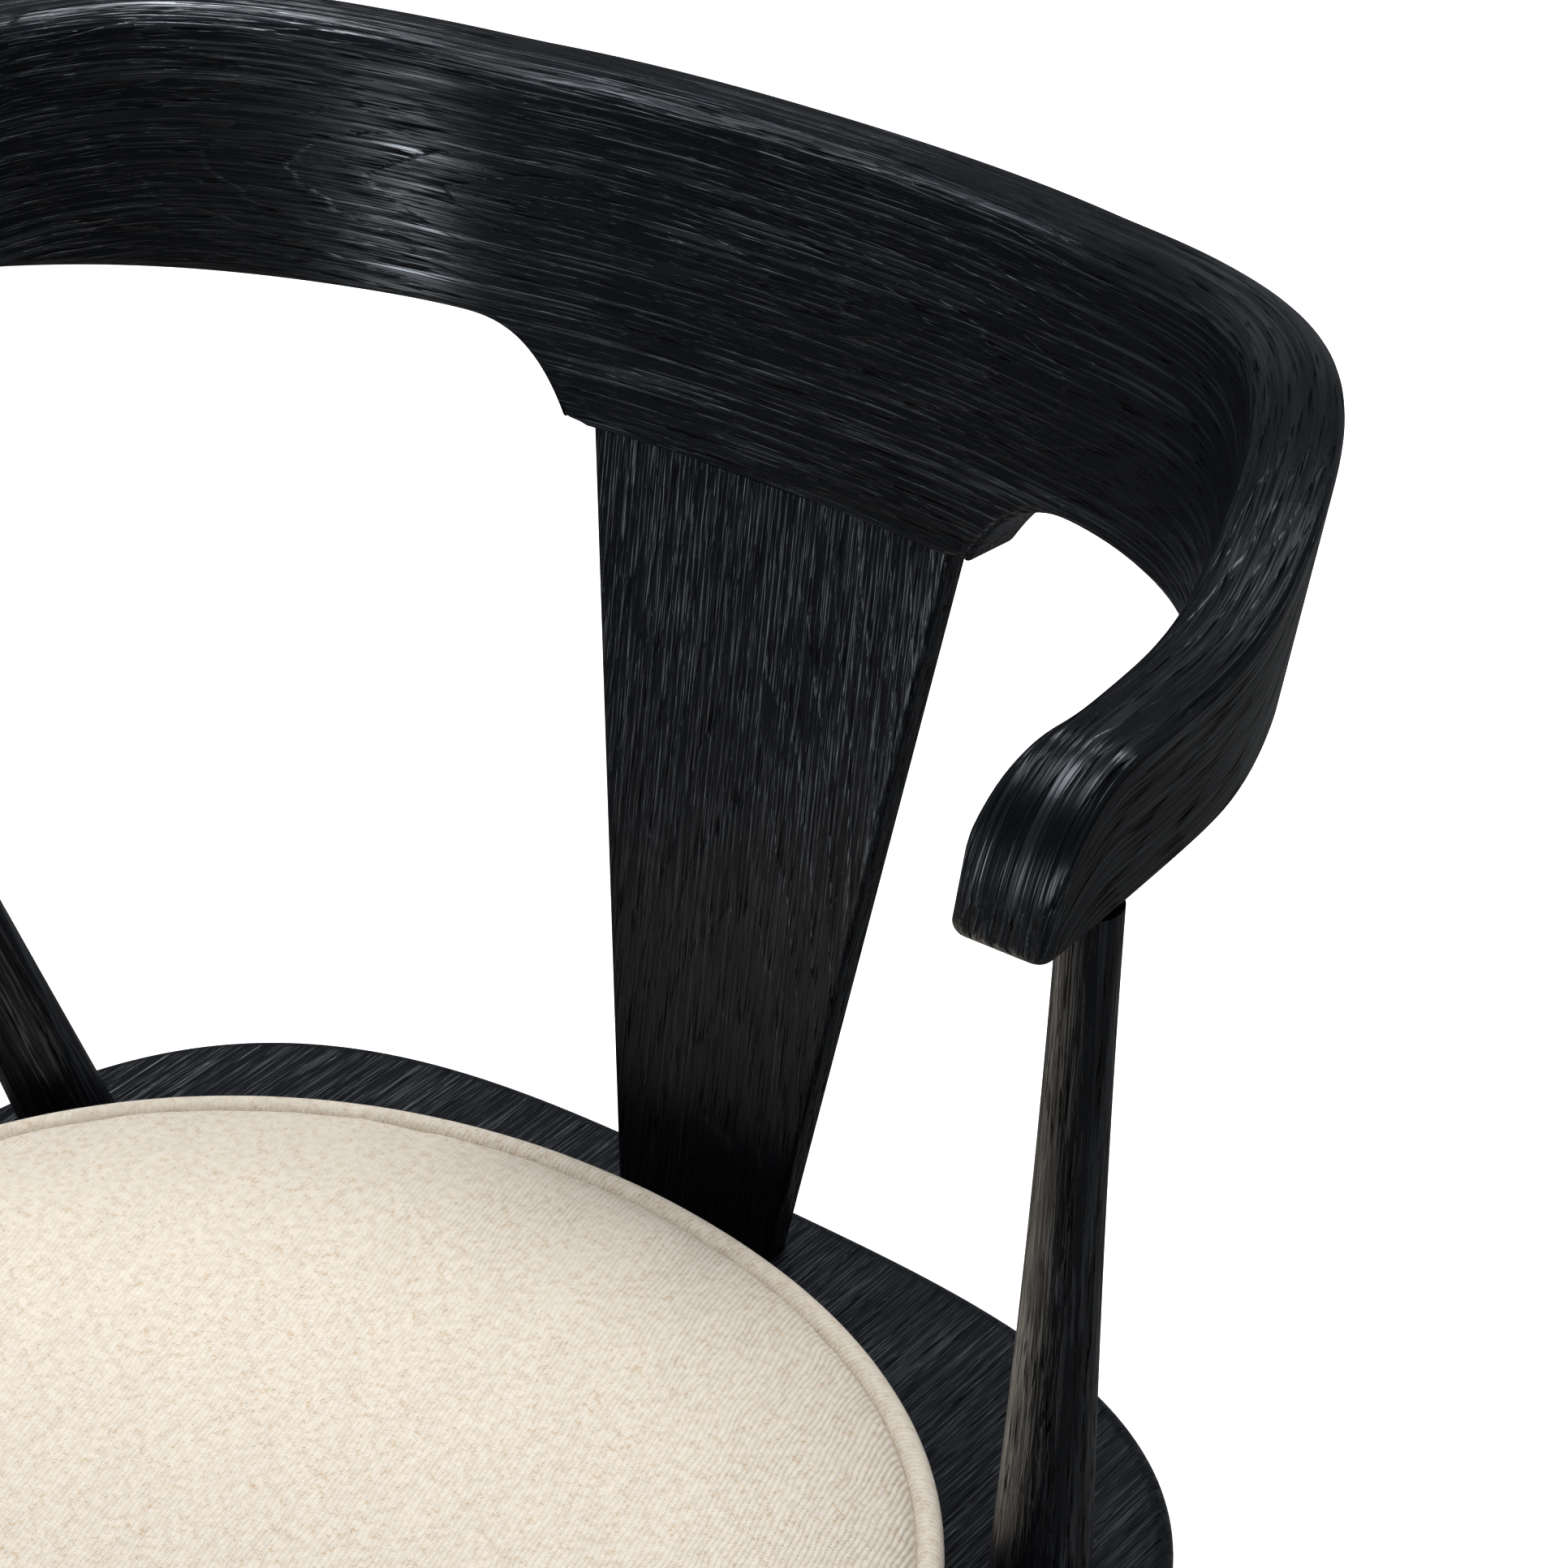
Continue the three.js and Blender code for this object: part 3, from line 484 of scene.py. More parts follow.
@dataclass(frozen=True)
class OatmealCloth:
    """Undyed wool-blend twill with tan and grey flecks in its yarns."""

    name: str
    yarn: float = 0.00062
    turn_degrees: float = 27.0
    cream: Colour = (0.745, 0.690, 0.600)
    shade: Colour = (0.660, 0.600, 0.505)
    tan: Colour = (0.560, 0.400, 0.255)
    grey: Colour = (0.470, 0.445, 0.420)
    sheen_tint: tuple[float, float, float, float] = (1.0, 0.97, 0.92, 1.0)
    bend_waves: Waves = (45.0, 45.0, 45.0)
    cloud_waves: Waves = (320.0, 320.0, 320.0)
    slub_waves: Waves = (900.0, 900.0, 900.0)
    drift_yarns: float = 5.0
    float_length: float = 0.13
    yarn_depth: float = 0.00016
    twill_depth: float = 0.00010
    fuzz_depth: float = 0.00022

    def flat_place(self, graph: Graph, radius: float) -> Socket:
        """Across and along the cloth: flat on top, and wound round the side.

        Args:
            graph: The material's graph.
            radius: The cushion's radius in metres, which sets the length round its side.

        Returns:
            A vector in metres.
        """
        x, y, z = graph.parts(graph.object_place())
        y = graph.math("SUBTRACT", y, SHIFT_MM * MM)
        round_side = graph.math("MULTIPLY", graph.math("ARCTAN2", x, y), radius)
        up = graph.parts(graph.add("ShaderNodeNewGeometry").outputs["True Normal"])[2]
        on_side = graph.math("LESS_THAN", graph.math("ABSOLUTE", up), 0.5)
        on_top, wound = graph.joined(x, y, 0.0), graph.joined(round_side, z, 1.0)
        return graph.mix(on_side, on_top, wound, "VECTOR")

    def wound_place(self, graph: Graph, radius: float, cord: float) -> Socket:
        """Along and round a cord that runs about the cushion.

        Args:
            graph: The material's graph.
            radius: The cushion's radius in metres.
            cord: The cord's own radius in metres.

        Returns:
            A vector in metres.
        """
        x, y, _ = graph.parts(graph.object_place())
        y = graph.math("SUBTRACT", y, SHIFT_MM * MM)
        along = graph.math("MULTIPLY", graph.math("ARCTAN2", x, y), radius)
        side, up, _ = graph.parts(graph.carried(ROUND))
        turned = graph.math("MULTIPLY", graph.math("ARCTAN2", up, side), cord)
        return graph.joined(along, turned, 2.0)

    def weave(self, graph: Graph, place: Socket) -> bpy.types.Material:
        """Builds the cloth over a flat place.

        Args:
            graph: The material's graph.
            place: Across and along the cloth, in metres.

        Returns:
            The finished material.
        """
        bent = graph.noise(place, self.bend_waves)
        turn = graph.add("ShaderNodeMapping")
        graph.put(turn.inputs["Vector"], place)
        turn.inputs["Rotation"].default_value[2] = math.radians(self.turn_degrees)
        turn.inputs["Scale"].default_value = (1 / self.yarn, 1 / self.yarn, 1.0)
        across, along, layer = graph.parts(turn.outputs["Vector"])
        drift = graph.math("MULTIPLY", graph.math("SUBTRACT", bent, 0.5), self.drift_yarns)
        across = graph.math("ADD", across, drift)
        along = graph.math("ADD", along, drift)
        step = graph.math("ADD", graph.math("FLOOR", across), graph.math("FLOOR", along))
        in_repeat = graph.math("FLOORED_MODULO", step, TWILL_REPEAT)
        over = graph.math("LESS_THAN", in_repeat, TWILL_REPEAT / 2)
        ridge_a = graph.math("PINGPONG", across, 0.5)
        ridge_b = graph.math("PINGPONG", along, 0.5)
        crown_a = graph.math("SQRT", graph.math("MULTIPLY", ridge_a, 2.0))
        crown_b = graph.math("SQRT", graph.math("MULTIPLY", ridge_b, 2.0))
        height = graph.mix(over, crown_b, crown_a, "FLOAT")
        turn_rate = 2 * math.pi / TWILL_REPEAT
        both = graph.math("ADD", across, along)
        diagonal = graph.math("SINE", graph.math("MULTIPLY", both, turn_rate))
        short_along = graph.math("MULTIPLY", along, self.float_length)
        short_across = graph.math("MULTIPLY", across, self.float_length)
        warp = graph.speckle(graph.joined(across, short_along, layer))
        weft = graph.speckle(graph.joined(short_across, along, layer))
        fleck = graph.mix(over, weft, warp, "FLOAT")
        cloud = graph.noise(place, self.cloud_waves, detail=3.0)
        slub = graph.noise(place, self.slub_waves)
        colour = graph.mix(graph.spread(cloud, 0.36, 0.68), self.cream, self.shade)
        tan_yarns, tan_clouds = graph.spread(fleck, 0.80, 0.98), graph.spread(cloud, 0.40, 0.62)
        tan_share = graph.math("MULTIPLY", tan_yarns, tan_clouds)
        colour = graph.mix(graph.math("MULTIPLY", tan_share, 0.75), colour, self.tan)
        grey_yarns, grey_slubs = graph.spread(fleck, 0.16, 0.0), graph.spread(slub, 0.42, 0.62)
        grey_share = graph.math("MULTIPLY", grey_yarns, grey_slubs)
        colour = graph.mix(graph.math("MULTIPLY", grey_share, 0.55), colour, self.grey)
        # Painted shade: the low valleys between yarns and the twill's sunken diagonal grooves are
        # drawn towards tan, darker than the yarn crowns.
        valley_shade = graph.math("MULTIPLY_ADD", height, -0.16, 0.16)
        groove_shade = graph.math("MULTIPLY_ADD", diagonal, -0.05, 0.05)
        colour = graph.mix(graph.math("ADD", valley_shade, groove_shade, clamp=True), colour, self.tan)
        fuzz = graph.bump(slub, self.fuzz_depth)
        lines = graph.bump(diagonal, self.twill_depth, fuzz)
        graph.surface(
            Base_Color=colour,
            Roughness=0.93,
            Specular_IOR_Level=0.18,
            Sheen_Weight=0.22,
            Sheen_Roughness=0.45,
            Sheen_Tint=self.sheen_tint,
            Normal=graph.bump(height, self.yarn_depth, lines),
        )
        return graph.material

    def material(self, radius: float) -> bpy.types.Material:
        """The cloth of the pad: flat on top and wound round the boxing."""
        graph = Graph(self.name)
        return self.weave(graph, self.flat_place(graph, radius))

    def cord_material(self, radius: float, cord: float) -> bpy.types.Material:
        """The same cloth cut on the bias round the welt."""
        graph = Graph(self.name + "_welt")
        return self.weave(graph, self.wound_place(graph, radius, cord))


@dataclass(frozen=True)
class BareWood:
    """Unfinished wood of the hidden parts, with its grain front to back."""

    name: str
    light: Colour
    dark: Colour
    band: float

    def material(self) -> bpy.types.Material:
        """Builds the finish."""
        graph = Graph(self.name)
        place = graph.object_place()
        fibre = graph.noise(place, (900.0, 40.0, 900.0), detail=4.0)
        layer = graph.math("PINGPONG", graph.math("DIVIDE", graph.parts(place)[2], self.band), 1.0)
        tone = graph.math("MULTIPLY_ADD", layer, 0.35, graph.math("MULTIPLY", fibre, 0.65))
        graph.surface(
            Base_Color=graph.mix(graph.spread(tone, 0.2, 0.8), self.light, self.dark),
            Roughness=graph.spread(fibre, 0.2, 0.8, 0.55, 0.75),
            Normal=graph.bump(fibre, 0.00010),
        )
        return graph.material


@dataclass(frozen=True)
class ZincSteel:
    """Zinc-plated steel with fine turning marks and a little dulling."""

    name: str
    colour: Colour = (0.58, 0.59, 0.61)
    dulled: Colour = (0.40, 0.41, 0.42)

    def material(self) -> bpy.types.Material:
        """Builds the finish."""
        graph = Graph(self.name)
        place = graph.object_place()
        marks = graph.noise(place, (600.0, 600.0, 5200.0))
        bloom = graph.noise(place, (260.0, 260.0, 260.0), detail=4.0)
        graph.surface(
            Base_Color=graph.mix(graph.spread(bloom, 0.4, 0.7), self.colour, self.dulled),
            Metallic=1.0,
            Roughness=graph.spread(bloom, 0.3, 0.75, 0.26, 0.48),
            Normal=graph.bump(marks, 0.00003),
        )
        return graph.material


@dataclass(frozen=True)
class Nylon:
    """Dark moulded nylon with a fine spark-eroded texture and scuffs."""

    name: str
    colour: Colour = (0.012, 0.012, 0.013)
    scuffed: Colour = (0.05, 0.05, 0.05)

    def material(self) -> bpy.types.Material:
        """Builds the finish."""
        graph = Graph(self.name)
        place = graph.object_place()
        skin = graph.noise(place, (2600.0, 2600.0, 2600.0))
        scuff = graph.noise(place, (180.0, 700.0, 180.0), detail=4.0)
        graph.surface(
            Base_Color=graph.mix(graph.spread(scuff, 0.58, 0.72), self.colour, self.scuffed),
            Roughness=graph.spread(scuff, 0.4, 0.7, 0.42, 0.66),
            Normal=graph.bump(skin, 0.00005),
        )
        return graph.material


@dataclass(frozen=True)
class StudioPaper:
    """Matt white paper under the chair."""

    name: str
    tone: Colour = (0.78, 0.78, 0.785)

    def material(self) -> bpy.types.Material:
        """Builds the finish."""
        graph = Graph(self.name)
        fibre = graph.noise(graph.object_place(), (700.0, 700.0, 700.0))
        graph.surface(
            Base_Color=self.tone,
            Roughness=graph.spread(fibre, 0.3, 0.7, 0.88, 0.96),
            Specular_IOR_Level=0.1,
        )
        return graph.material


# ---------------------------------------------------------------------------
# Crest rail and arms
# ---------------------------------------------------------------------------
def quarter_round(
    centre: tuple[float, float], radius: float, start: float, steps: int
) -> tuple[np.ndarray, np.ndarray]:
    """One rounded corner of a section, and how rubbed each of its points is.

    Args:
        centre: Centre of the rounding, in millimetres.
        radius: Its radius.
        start: Direction of its first point, in degrees.
        steps: How many steps turn it by 90 degrees.

    Returns:
        Points (x, y), and wear from 0 at both ends to 1 in the middle.
    """
    step = np.arange(steps + 1)
    angle = np.radians(start + 90 * step / steps)
    points = np.array(centre) + radius * np.stack([np.cos(angle), np.sin(angle)], 1)
    return points, np.sin(math.pi * step / steps)


@dataclass
class PlanCurve:
    """The plan line that the rail and both arms follow, from left to right.

    Args:
        half: The right half's points (x, y) on the drawing, middle first.
        fairing: How widely the line is faired, in millimetres.
    """

    half: list[tuple[float, float]]
    fairing: float = 9.0
    per_span: int = 60
    coarse: float = 1.0
    fine: float = 0.5
    line: np.ndarray = field(init=False)
    run: np.ndarray = field(init=False)

    def __post_init__(self) -> None:
        """Samples, fairs and measures the line."""
        right = np.array(self.half, float)
        left = right[1:][::-1] * np.array([-1.0, 1.0])
        raw = self.sampled(np.vstack([left, right]))
        even = self.evenly(raw, self.coarse)
        self.line = self.evenly(self.faired(even), self.fine)
        steps = np.linalg.norm(np.diff(self.line, axis=0), axis=1)
        total = np.concatenate([[0.0], np.cumsum(steps)])
        self.run = total - total[-1] / 2

    @property
    def half_length(self) -> float:
        """Length from the middle to one end."""
        return float(self.run[-1])

    def sampled(self, points: np.ndarray) -> np.ndarray:
        """Samples the centripetal spline through the points."""
        ends = [2 * points[0] - points[1]], [2 * points[-1] - points[-2]]
        knots = np.vstack([ends[0], points, ends[1]])
        spans = []
        share = np.linspace(0, 1, self.per_span, endpoint=False)[:, None]
        for first in range(len(knots) - 3):
            p0, p1, p2, p3 = knots[first : first + 4]
            d0, d1, d2 = (
                np.linalg.norm(b - a) ** 0.5 for a, b in ((p0, p1), (p1, p2), (p2, p3))
            )
            out = ((p1 - p0) / d0 - (p2 - p0) / (d0 + d1) + (p2 - p1) / d1) * d1
            into = ((p2 - p1) / d1 - (p3 - p1) / (d1 + d2) + (p3 - p2) / d2) * d1
            square = (3 * (p2 - p1) - 2 * out - into) * share**2
            cube = (2 * (p1 - p2) + out + into) * share**3
            spans.append(p1 + out * share + square + cube)
        return np.vstack([*spans, points[-1:]])

    def evenly(self, points: np.ndarray, pitch: float) -> np.ndarray:
        """Spaces points evenly along a line."""
        steps = np.linalg.norm(np.diff(points, axis=0), axis=1)
        run = np.concatenate([[0.0], np.cumsum(steps)])
        wanted = np.linspace(0, run[-1], int(round(run[-1] / pitch)) + 1)
        return np.stack([np.interp(wanted, run, points[:, k]) for k in (0, 1)], axis=1)

    def faired(self, points: np.ndarray) -> np.ndarray:
        """Smooths a line of points a millimetre apart and keeps its ends."""
        reach = int(self.fairing * 4)
        weight = np.exp(-0.5 * (np.arange(-reach, reach + 1) / self.fairing) ** 2)
        weight /= weight.sum()
        before = 2 * points[0] - points[reach:0:-1]
        after = 2 * points[-1] - points[-2 : -reach - 2 : -1]
        long = np.vstack([before, points, after])
        return np.stack([np.convolve(long[:, k], weight, "valid") for k in (0, 1)], axis=1)

    def at(self, signed: np.ndarray) -> tuple[np.ndarray, np.ndarray]:
        """Points and outward directions at signed distances from the middle.

        Args:
            signed: Distances along the line, negative on the left.

        Returns:
            Points (x, y) and unit outward directions (x, y).
        """
        slope = np.gradient(self.line, axis=0)
        point = np.stack([np.interp(signed, self.run, self.line[:, k]) for k in (0, 1)], 1)
        tangent = np.stack([np.interp(signed, self.run, slope[:, k]) for k in (0, 1)], 1)
        tangent /= np.linalg.norm(tangent, axis=1)[:, None]
        return point, np.stack([-tangent[:, 1], tangent[:, 0]], axis=1)

    def distance_to_y(self, y: float) -> float:
        """The distance from the middle at which the right half comes forward to y."""
        right = self.run >= 0
        return float(np.interp(-y, -self.line[right][:, 1], self.run[right]))


@dataclass
class BackRail:
    """The crest rail that sweeps forward into two short arms.

    Heights are above the seat board and everything is in millimetres.
    """

    half_thick: float = 12.0
    back_y: float = 291.5
    top: float = 361.0
    bottom: float = 279.5
    corner_top: float = 376.0
    arm_top: float = 362.0
    arm_bottom: float = ARM_BOTTOM_MM
    lean: float = math.tan(math.radians(9.5))
    ear_drop: float = 25.6
    ear_half: float = 79.5
    ear_fillet: float = 44.0
    ear_power: float = 3.0
    under_rise: tuple[float, float] = (85.0, 300.0)
    ear_corner: float = 2.5
    nose: float = 27.0
    nose_lip: float = 16.0
    nose_round: float = 4.5
    nose_spread: float = 4.0
    tip_grain: float = 0.1
    nose_spread_run: float = 40.0
    seam_y: float = 160.0
    arm_end: tuple[float, float] = (253.0, 34.0)
    lift_run: tuple[float, float] = (100.0, 140.0)
    fall_run: tuple[float, float] = (255.0, 105.0)
    slim_run: tuple[float, float] = (170.0, 130.0)
    round_rail: float = 8.0
    round_arm_inside: float = 6.0
    round_arm_outside: float = 3.6
    round_bottom: float = 4.0
    round_over_splat: float = 1.2
    arc_steps: int = 8
    face_steps: int = 7
    pitch: float = 3.5
    close_steps: int = 27
    least_gap: float = 0.045
    end_gap: float = 0.05
    curve: PlanCurve = field(init=False)

    def __post_init__(self) -> None:
        """Draws the plan line."""
        back = self.back_y
        end_x, end_y = self.arm_end
        self.curve = PlanCurve(
            [
                (0.0, back),
                (50.0, back - 1.5),
                (89.0, back - 6.0),
                (127.0, back - 15.0),
                (162.0, back - 35.0),
                (190.0, back - 60.0),
                (210.5, back - 86.5),
                (227.0, back - 116.5),
                (239.9, back - 147.6),
                (end_x - 5.2, end_y + 84.0),
                (end_x - 1.7, end_y + 52.0),
                (end_x - 0.4, end_y + 24.0),
                (end_x, end_y),
            ]
        )

    def lower(self, distance: np.ndarray) -> np.ndarray:
        """Height of the lower edge, with the two ears beside the splat."""
        start, run = self.under_rise
        plain = self.bottom + (self.arm_bottom - self.bottom) * ease((distance - start) / run)
        t = np.clip((distance - self.ear_half) / self.ear_fillet, 0.0, 1.0)
        hollow = (1 - t) ** self.ear_power
        inset = np.clip(distance - (self.ear_half - self.ear_corner), 0.0, self.ear_corner)
        corner = self.ear_corner - np.sqrt(self.ear_corner**2 - inset**2)
        drop = np.minimum(self.ear_drop * hollow, self.ear_drop - np.where(t <= 0, corner, 0))
        return plain - drop

    def upper(self, distance: np.ndarray) -> np.ndarray:
        """Height of the upper edge, which lifts at the corners and rolls over at the nose."""
        (lift_start, lift_run), (fall_start, fall_run) = self.lift_run, self.fall_run
        lift = (self.corner_top - self.top) * ease((distance - lift_start) / lift_run)
        fall = (self.arm_top - self.corner_top) * ease((distance - fall_start) / fall_run)
        plain = self.top + lift + fall
        left = np.clip((self.curve.half_length - distance) / self.nose, 0.0, 1.0)
        low = self.arm_bottom + self.nose_lip
        return low + (plain - low) * np.sqrt(1 - (1 - left) ** 2)

    def section(self, distance: float) -> tuple[np.ndarray, np.ndarray]:
        """The outline of one section.

        Args:
            distance: Unsigned distance from the middle.

        Returns:
            Points (outwards, up), and how rubbed each one is.
        """
        left = self.curve.half_length - distance
        tip = np.clip(self.nose_round - left, 0.0, self.nose_round)
        inset = self.nose_round - math.sqrt(self.nose_round**2 - tip**2)
        slim_start, slim_run = self.slim_run
        to_arm = float(ease((distance - slim_start) / slim_run))
        spread = self.nose_spread * float(ease(1 - left / self.nose_spread_run))
        inner = self.half_thick - inset + spread
        outer = self.half_thick - inset
        low = float(self.lower(np.array(distance))) + inset
        high = float(self.upper(np.array(distance)))
        inside = self.round_rail + (self.round_arm_inside - self.round_rail) * to_arm
        outside = self.round_rail - 1 + (self.round_arm_outside - self.round_rail + 1) * to_arm
        most = (high - low) / 2.2
        over_splat = float(ease((self.ear_half - distance) / self.ear_corner - 2.0))
        under = self.round_bottom + (self.round_over_splat - self.round_bottom) * over_splat
        corners = [
            (outer, low, min(self.round_bottom, most), -90, 0.25),
            (outer, high, min(outside, most), 0, 1.0),
            (-inner, high, min(inside, most), 90, 1.0),
            (-inner, low, min(under, most), 180, 0.25),
        ]
        arcs, rubs = [], []
        for a, b, radius, start, rub in corners:
            centre = (a - math.copysign(radius, a), b + (radius if b == low else -radius))
            arc, rubbed = quarter_round(centre, radius, start, self.arc_steps)
            arcs.append(arc)
            rubs.append(rub * rubbed)
        return self.filled(arcs, rubs)

    def filled(
        self, arcs: list[np.ndarray], rubs: list[np.ndarray]
    ) -> tuple[np.ndarray, np.ndarray]:
        """Joins four corners by straight faces that have points of their own."""
        points, wear = [], []
        for arc, rubbed, following, extra in zip(
            arcs, rubs, [*arcs[1:], arcs[0]], [self.face_steps, 2, self.face_steps, 2]
        ):
            share = (np.arange(1, extra + 1) / (extra + 1))[:, None]
            points += [arc, arc[-1] + (following[0] - arc[-1]) * share]
            wear += [rubbed, np.zeros(extra)]
        return np.vstack(points), np.concatenate(wear)

    def stations(self, start: float, end: float) -> np.ndarray:
        """Signed distances of the sections between two places, in order.

        Args:
            start: Signed distance of the first section.
            end: Signed distance of the last one.

        Returns:
            Distances in millimetres, closer at the ears and the noses.
        """
        length = self.curve.half_length
        share = np.linspace(0, 1, self.close_steps)
        places = [np.arange(0, length, self.pitch)]
        places.append(self.ear_half + self.ear_fillet * share**2)
        places.append(self.ear_half - self.ear_corner * share)
        places.append(length - self.nose * (1 - np.cos(share * math.pi / 2)))
        places.append(length - self.nose_round * (1 - np.cos(share * math.pi / 2)))
        half = np.concatenate(places)
        both = np.sort(np.concatenate([-half, half]))
        inside = both[(both > start + self.end_gap) & (both < end - self.end_gap)]
        kept = [start]
        for place in inside:
            if place - kept[-1] > self.least_gap:
                kept.append(float(place))
        return np.array([*kept, end])

    def loft(self, start: float, end: float) -> Loft:
        """Sweeps the section between two signed distances."""
        signed = self.stations(start, end)
        point, outwards = self.curve.at(signed)
        rings, grain, wear = [], [], []
        for place, at, out in zip(signed, point, outwards):
            outline, rubbed = self.section(abs(float(place)))
            side = outline[:, 0] + self.lean * (outline[:, 1] - RAIL_REFERENCE_MM)
            height = SEAT_TOP_MM + outline[:, 1]
            rings.append(np.stack([at[0] + out[0] * side, at[1] + out[1] * side, height], 1))
            run = np.full(len(outline), place)
            to_tip = (self.curve.half_length - abs(float(place))) / self.nose_round
            squeeze = min(max(to_tip, self.tip_grain), 1.0)
            below = (outline[:, 1] - outline[:, 1].max()) * squeeze + self.top - self.bottom
            grain.append(np.stack([run, below, outline[:, 0]], 1))
            wear.append(rubbed)
        return Loft(placed(np.array(rings)), np.array(grain) * MM, np.array(wear))

    def build(self, oak: bpy.types.Material) -> None:
        """Builds the crest rail and both arms."""
        seam = self.curve.distance_to_y(self.seam_y)
        end = self.curve.half_length
        gap = HAIRLINE_MM / 2
        spans = {
            "crest_rail": (-seam + gap, seam - gap),
            "arm_left": (-end, -seam - gap),
            "arm_right": (seam + gap, end),
        }
        for node, (start, stop) in spans.items():
            dress(self.loft(start, stop).build(node + "_oak"), oak, "black_oak", node)


# ---------------------------------------------------------------------------
# Back splat
# ---------------------------------------------------------------------------
@dataclass
class BackSplat:
    """The flat tapered splat between the seat and the rail, in millimetres."""

    thick: float = 12.0
    base_half: float = 30.8
    top_half: float = 68.3
    base_y: float = 225.0
    top: float = 253.9
    set_back: float = 0.6
    edge: float = 2.6
    rub: float = 0.7
    arc_steps: int = 5
    across: int = 16
    levels: int = 60

    def front_at_top(self, rail: BackRail) -> float:
        """Y of the splat's front face under the rail."""
        face = rail.back_y - rail.half_thick + rail.lean * (self.top - RAIL_REFERENCE_MM)
        return face + self.set_back

    def outline(self, half: float) -> tuple[np.ndarray, np.ndarray]:
        """One level outline (x, depth from the front face), and its rubbed edges."""
        back = self.thick
        corners = [(-half, 0.0, 180), (half, 0.0, 270), (half, back, 0), (-half, back, 90)]
        points, rubs = [], []
        for number, (x, y, start) in enumerate(corners):
            centre = (x - math.copysign(self.edge, x), self.edge if y == 0 else y - self.edge)
            arc, rubbed = quarter_round(centre, self.edge, start, self.arc_steps)
            points.append(arc)
            rubs.append(self.rub * rubbed)
            if number % 2 == 0:
                turn = arc[-1] * np.array([-1.0, 1.0])
                share = np.arange(1, self.across)[:, None] / self.across
                points.append(arc[-1] + (turn - arc[-1]) * share)
                rubs.append(np.zeros(self.across - 1))
        return np.vstack(points), np.concatenate(rubs)

    def build(self, oak: bpy.types.Material, rail: BackRail) -> None:
        """Builds the splat."""
        top_y = self.front_at_top(rail)
        rings, grain, wear = [], [], []
        for share in np.linspace(HAIRLINE_MM / self.top, 1 - HAIRLINE_MM / self.top, self.levels):
            half = self.base_half + (self.top_half - self.base_half) * share
            front = self.base_y + (top_y - self.base_y) * share
            outline, rubbed = self.outline(half)
            height = np.full(len(outline), SEAT_TOP_MM + self.top * share)
            rings.append(np.stack([outline[:, 0], front + outline[:, 1], height], 1))
            up = np.full(len(outline), self.top * share)
            grain.append(np.stack([up, outline[:, 0], outline[:, 1]], 1))
            wear.append(rubbed)
        loft = Loft(placed(np.array(rings)), np.array(grain) * MM, np.array(wear))
        dress(loft.build("back_splat_oak"), oak, "black_oak", "back_splat")


# ---------------------------------------------------------------------------
# Seat board
# ---------------------------------------------------------------------------
@dataclass
class SeatBoard:
    """The rounded solid seat, in millimetres."""

    half_width: float = 236.0
    widest_y: float = 27.0
    back: float = 228.0
    front: float = 256.0
    back_square: float = 3.4
    front_square: float = 2.7
    top_round: float = 6.0
    bottom_round: float = 7.0
    arc_steps: int = 9
    points: int = 420
    samples: int = 24001
    flat_gap: float = 0.5
    inner_shares: tuple[float, ...] = (0.97, 0.9, 0.8, 0.65, 0.5, 0.35, 0.2, 0.08)

    def outline(self) -> tuple[np.ndarray, np.ndarray]:
        """Evenly spaced points of the plan outline, and their outward directions."""
        angle = np.linspace(0, 2 * math.pi, self.samples)
        c, s = np.cos(angle), np.sin(angle)
        power = np.where(s > 0, 2 / self.back_square, 2 / self.front_square)
        depth = np.where(s > 0, self.back, self.front)
        x = self.half_width * np.sign(c) * np.abs(c) ** power
        y = depth * np.sign(s) * np.abs(s) ** power
        steps = np.hypot(np.diff(x), np.diff(y))
        run = np.concatenate([[0.0], np.cumsum(steps)])
        wanted = np.linspace(0, run[-1], self.points, endpoint=False)
        ring = np.stack([np.interp(wanted, run, x), np.interp(wanted, run, y)], 1)
        tangent = np.roll(ring, -1, 0) - np.roll(ring, 1, 0)
        tangent /= np.linalg.norm(tangent, axis=1)[:, None]
        return ring, np.stack([tangent[:, 1], -tangent[:, 0]], 1)

    def build(self, oak: bpy.types.Material) -> None:
        """Builds the seat board."""
        ring, outwards = self.outline()
        under = SEAT_TOP_MM - SEAT_THICK_MM
        low_flat = ring - outwards * (self.bottom_round + self.flat_gap)
        top_flat = ring - outwards * (self.top_round + self.flat_gap)
        low_shares = (*reversed(self.inner_shares), 1.0)
        levels = [(low_flat * share, under, 0.0) for share in low_shares]
        for angle in np.linspace(0, math.pi / 2, self.arc_steps + 1):
            inset = self.bottom_round * (1 - math.sin(angle))
            height = under + self.bottom_round * (1 - math.cos(angle))
            levels.append((ring - outwards * inset, height, 0.0))
        for angle in np.linspace(0, math.pi / 2, self.arc_steps + 1):
            inset = self.top_round * (1 - math.cos(angle))
            height = SEAT_TOP_MM - self.top_round * (1 - math.sin(angle))
            levels.append((ring - outwards * inset, height, math.sin(2 * angle)))
        top_shares = (1.0, *self.inner_shares)
        levels += [(top_flat * share, SEAT_TOP_MM, 0.0) for share in top_shares]
        body = np.array([self.level(plan, height) for plan, height, _ in levels])
        wear = np.array([np.full(self.points, rub) for *_, rub in levels])
        grain = body[..., [1, 0, 2]] - np.array([0.0, 0.0, SEAT_TOP_MM])
        loft = Loft(placed(body), grain * MM, wear)
        dress(loft.build("seat_board_oak"), oak, "black_oak", "seat_board")

    def level(self, plan: np.ndarray, height: float) -> np.ndarray:
        """A ring of the outline at a height."""
        return np.stack([plan[:, 0], self.widest_y + plan[:, 1], np.full(len(plan), height)], 1)


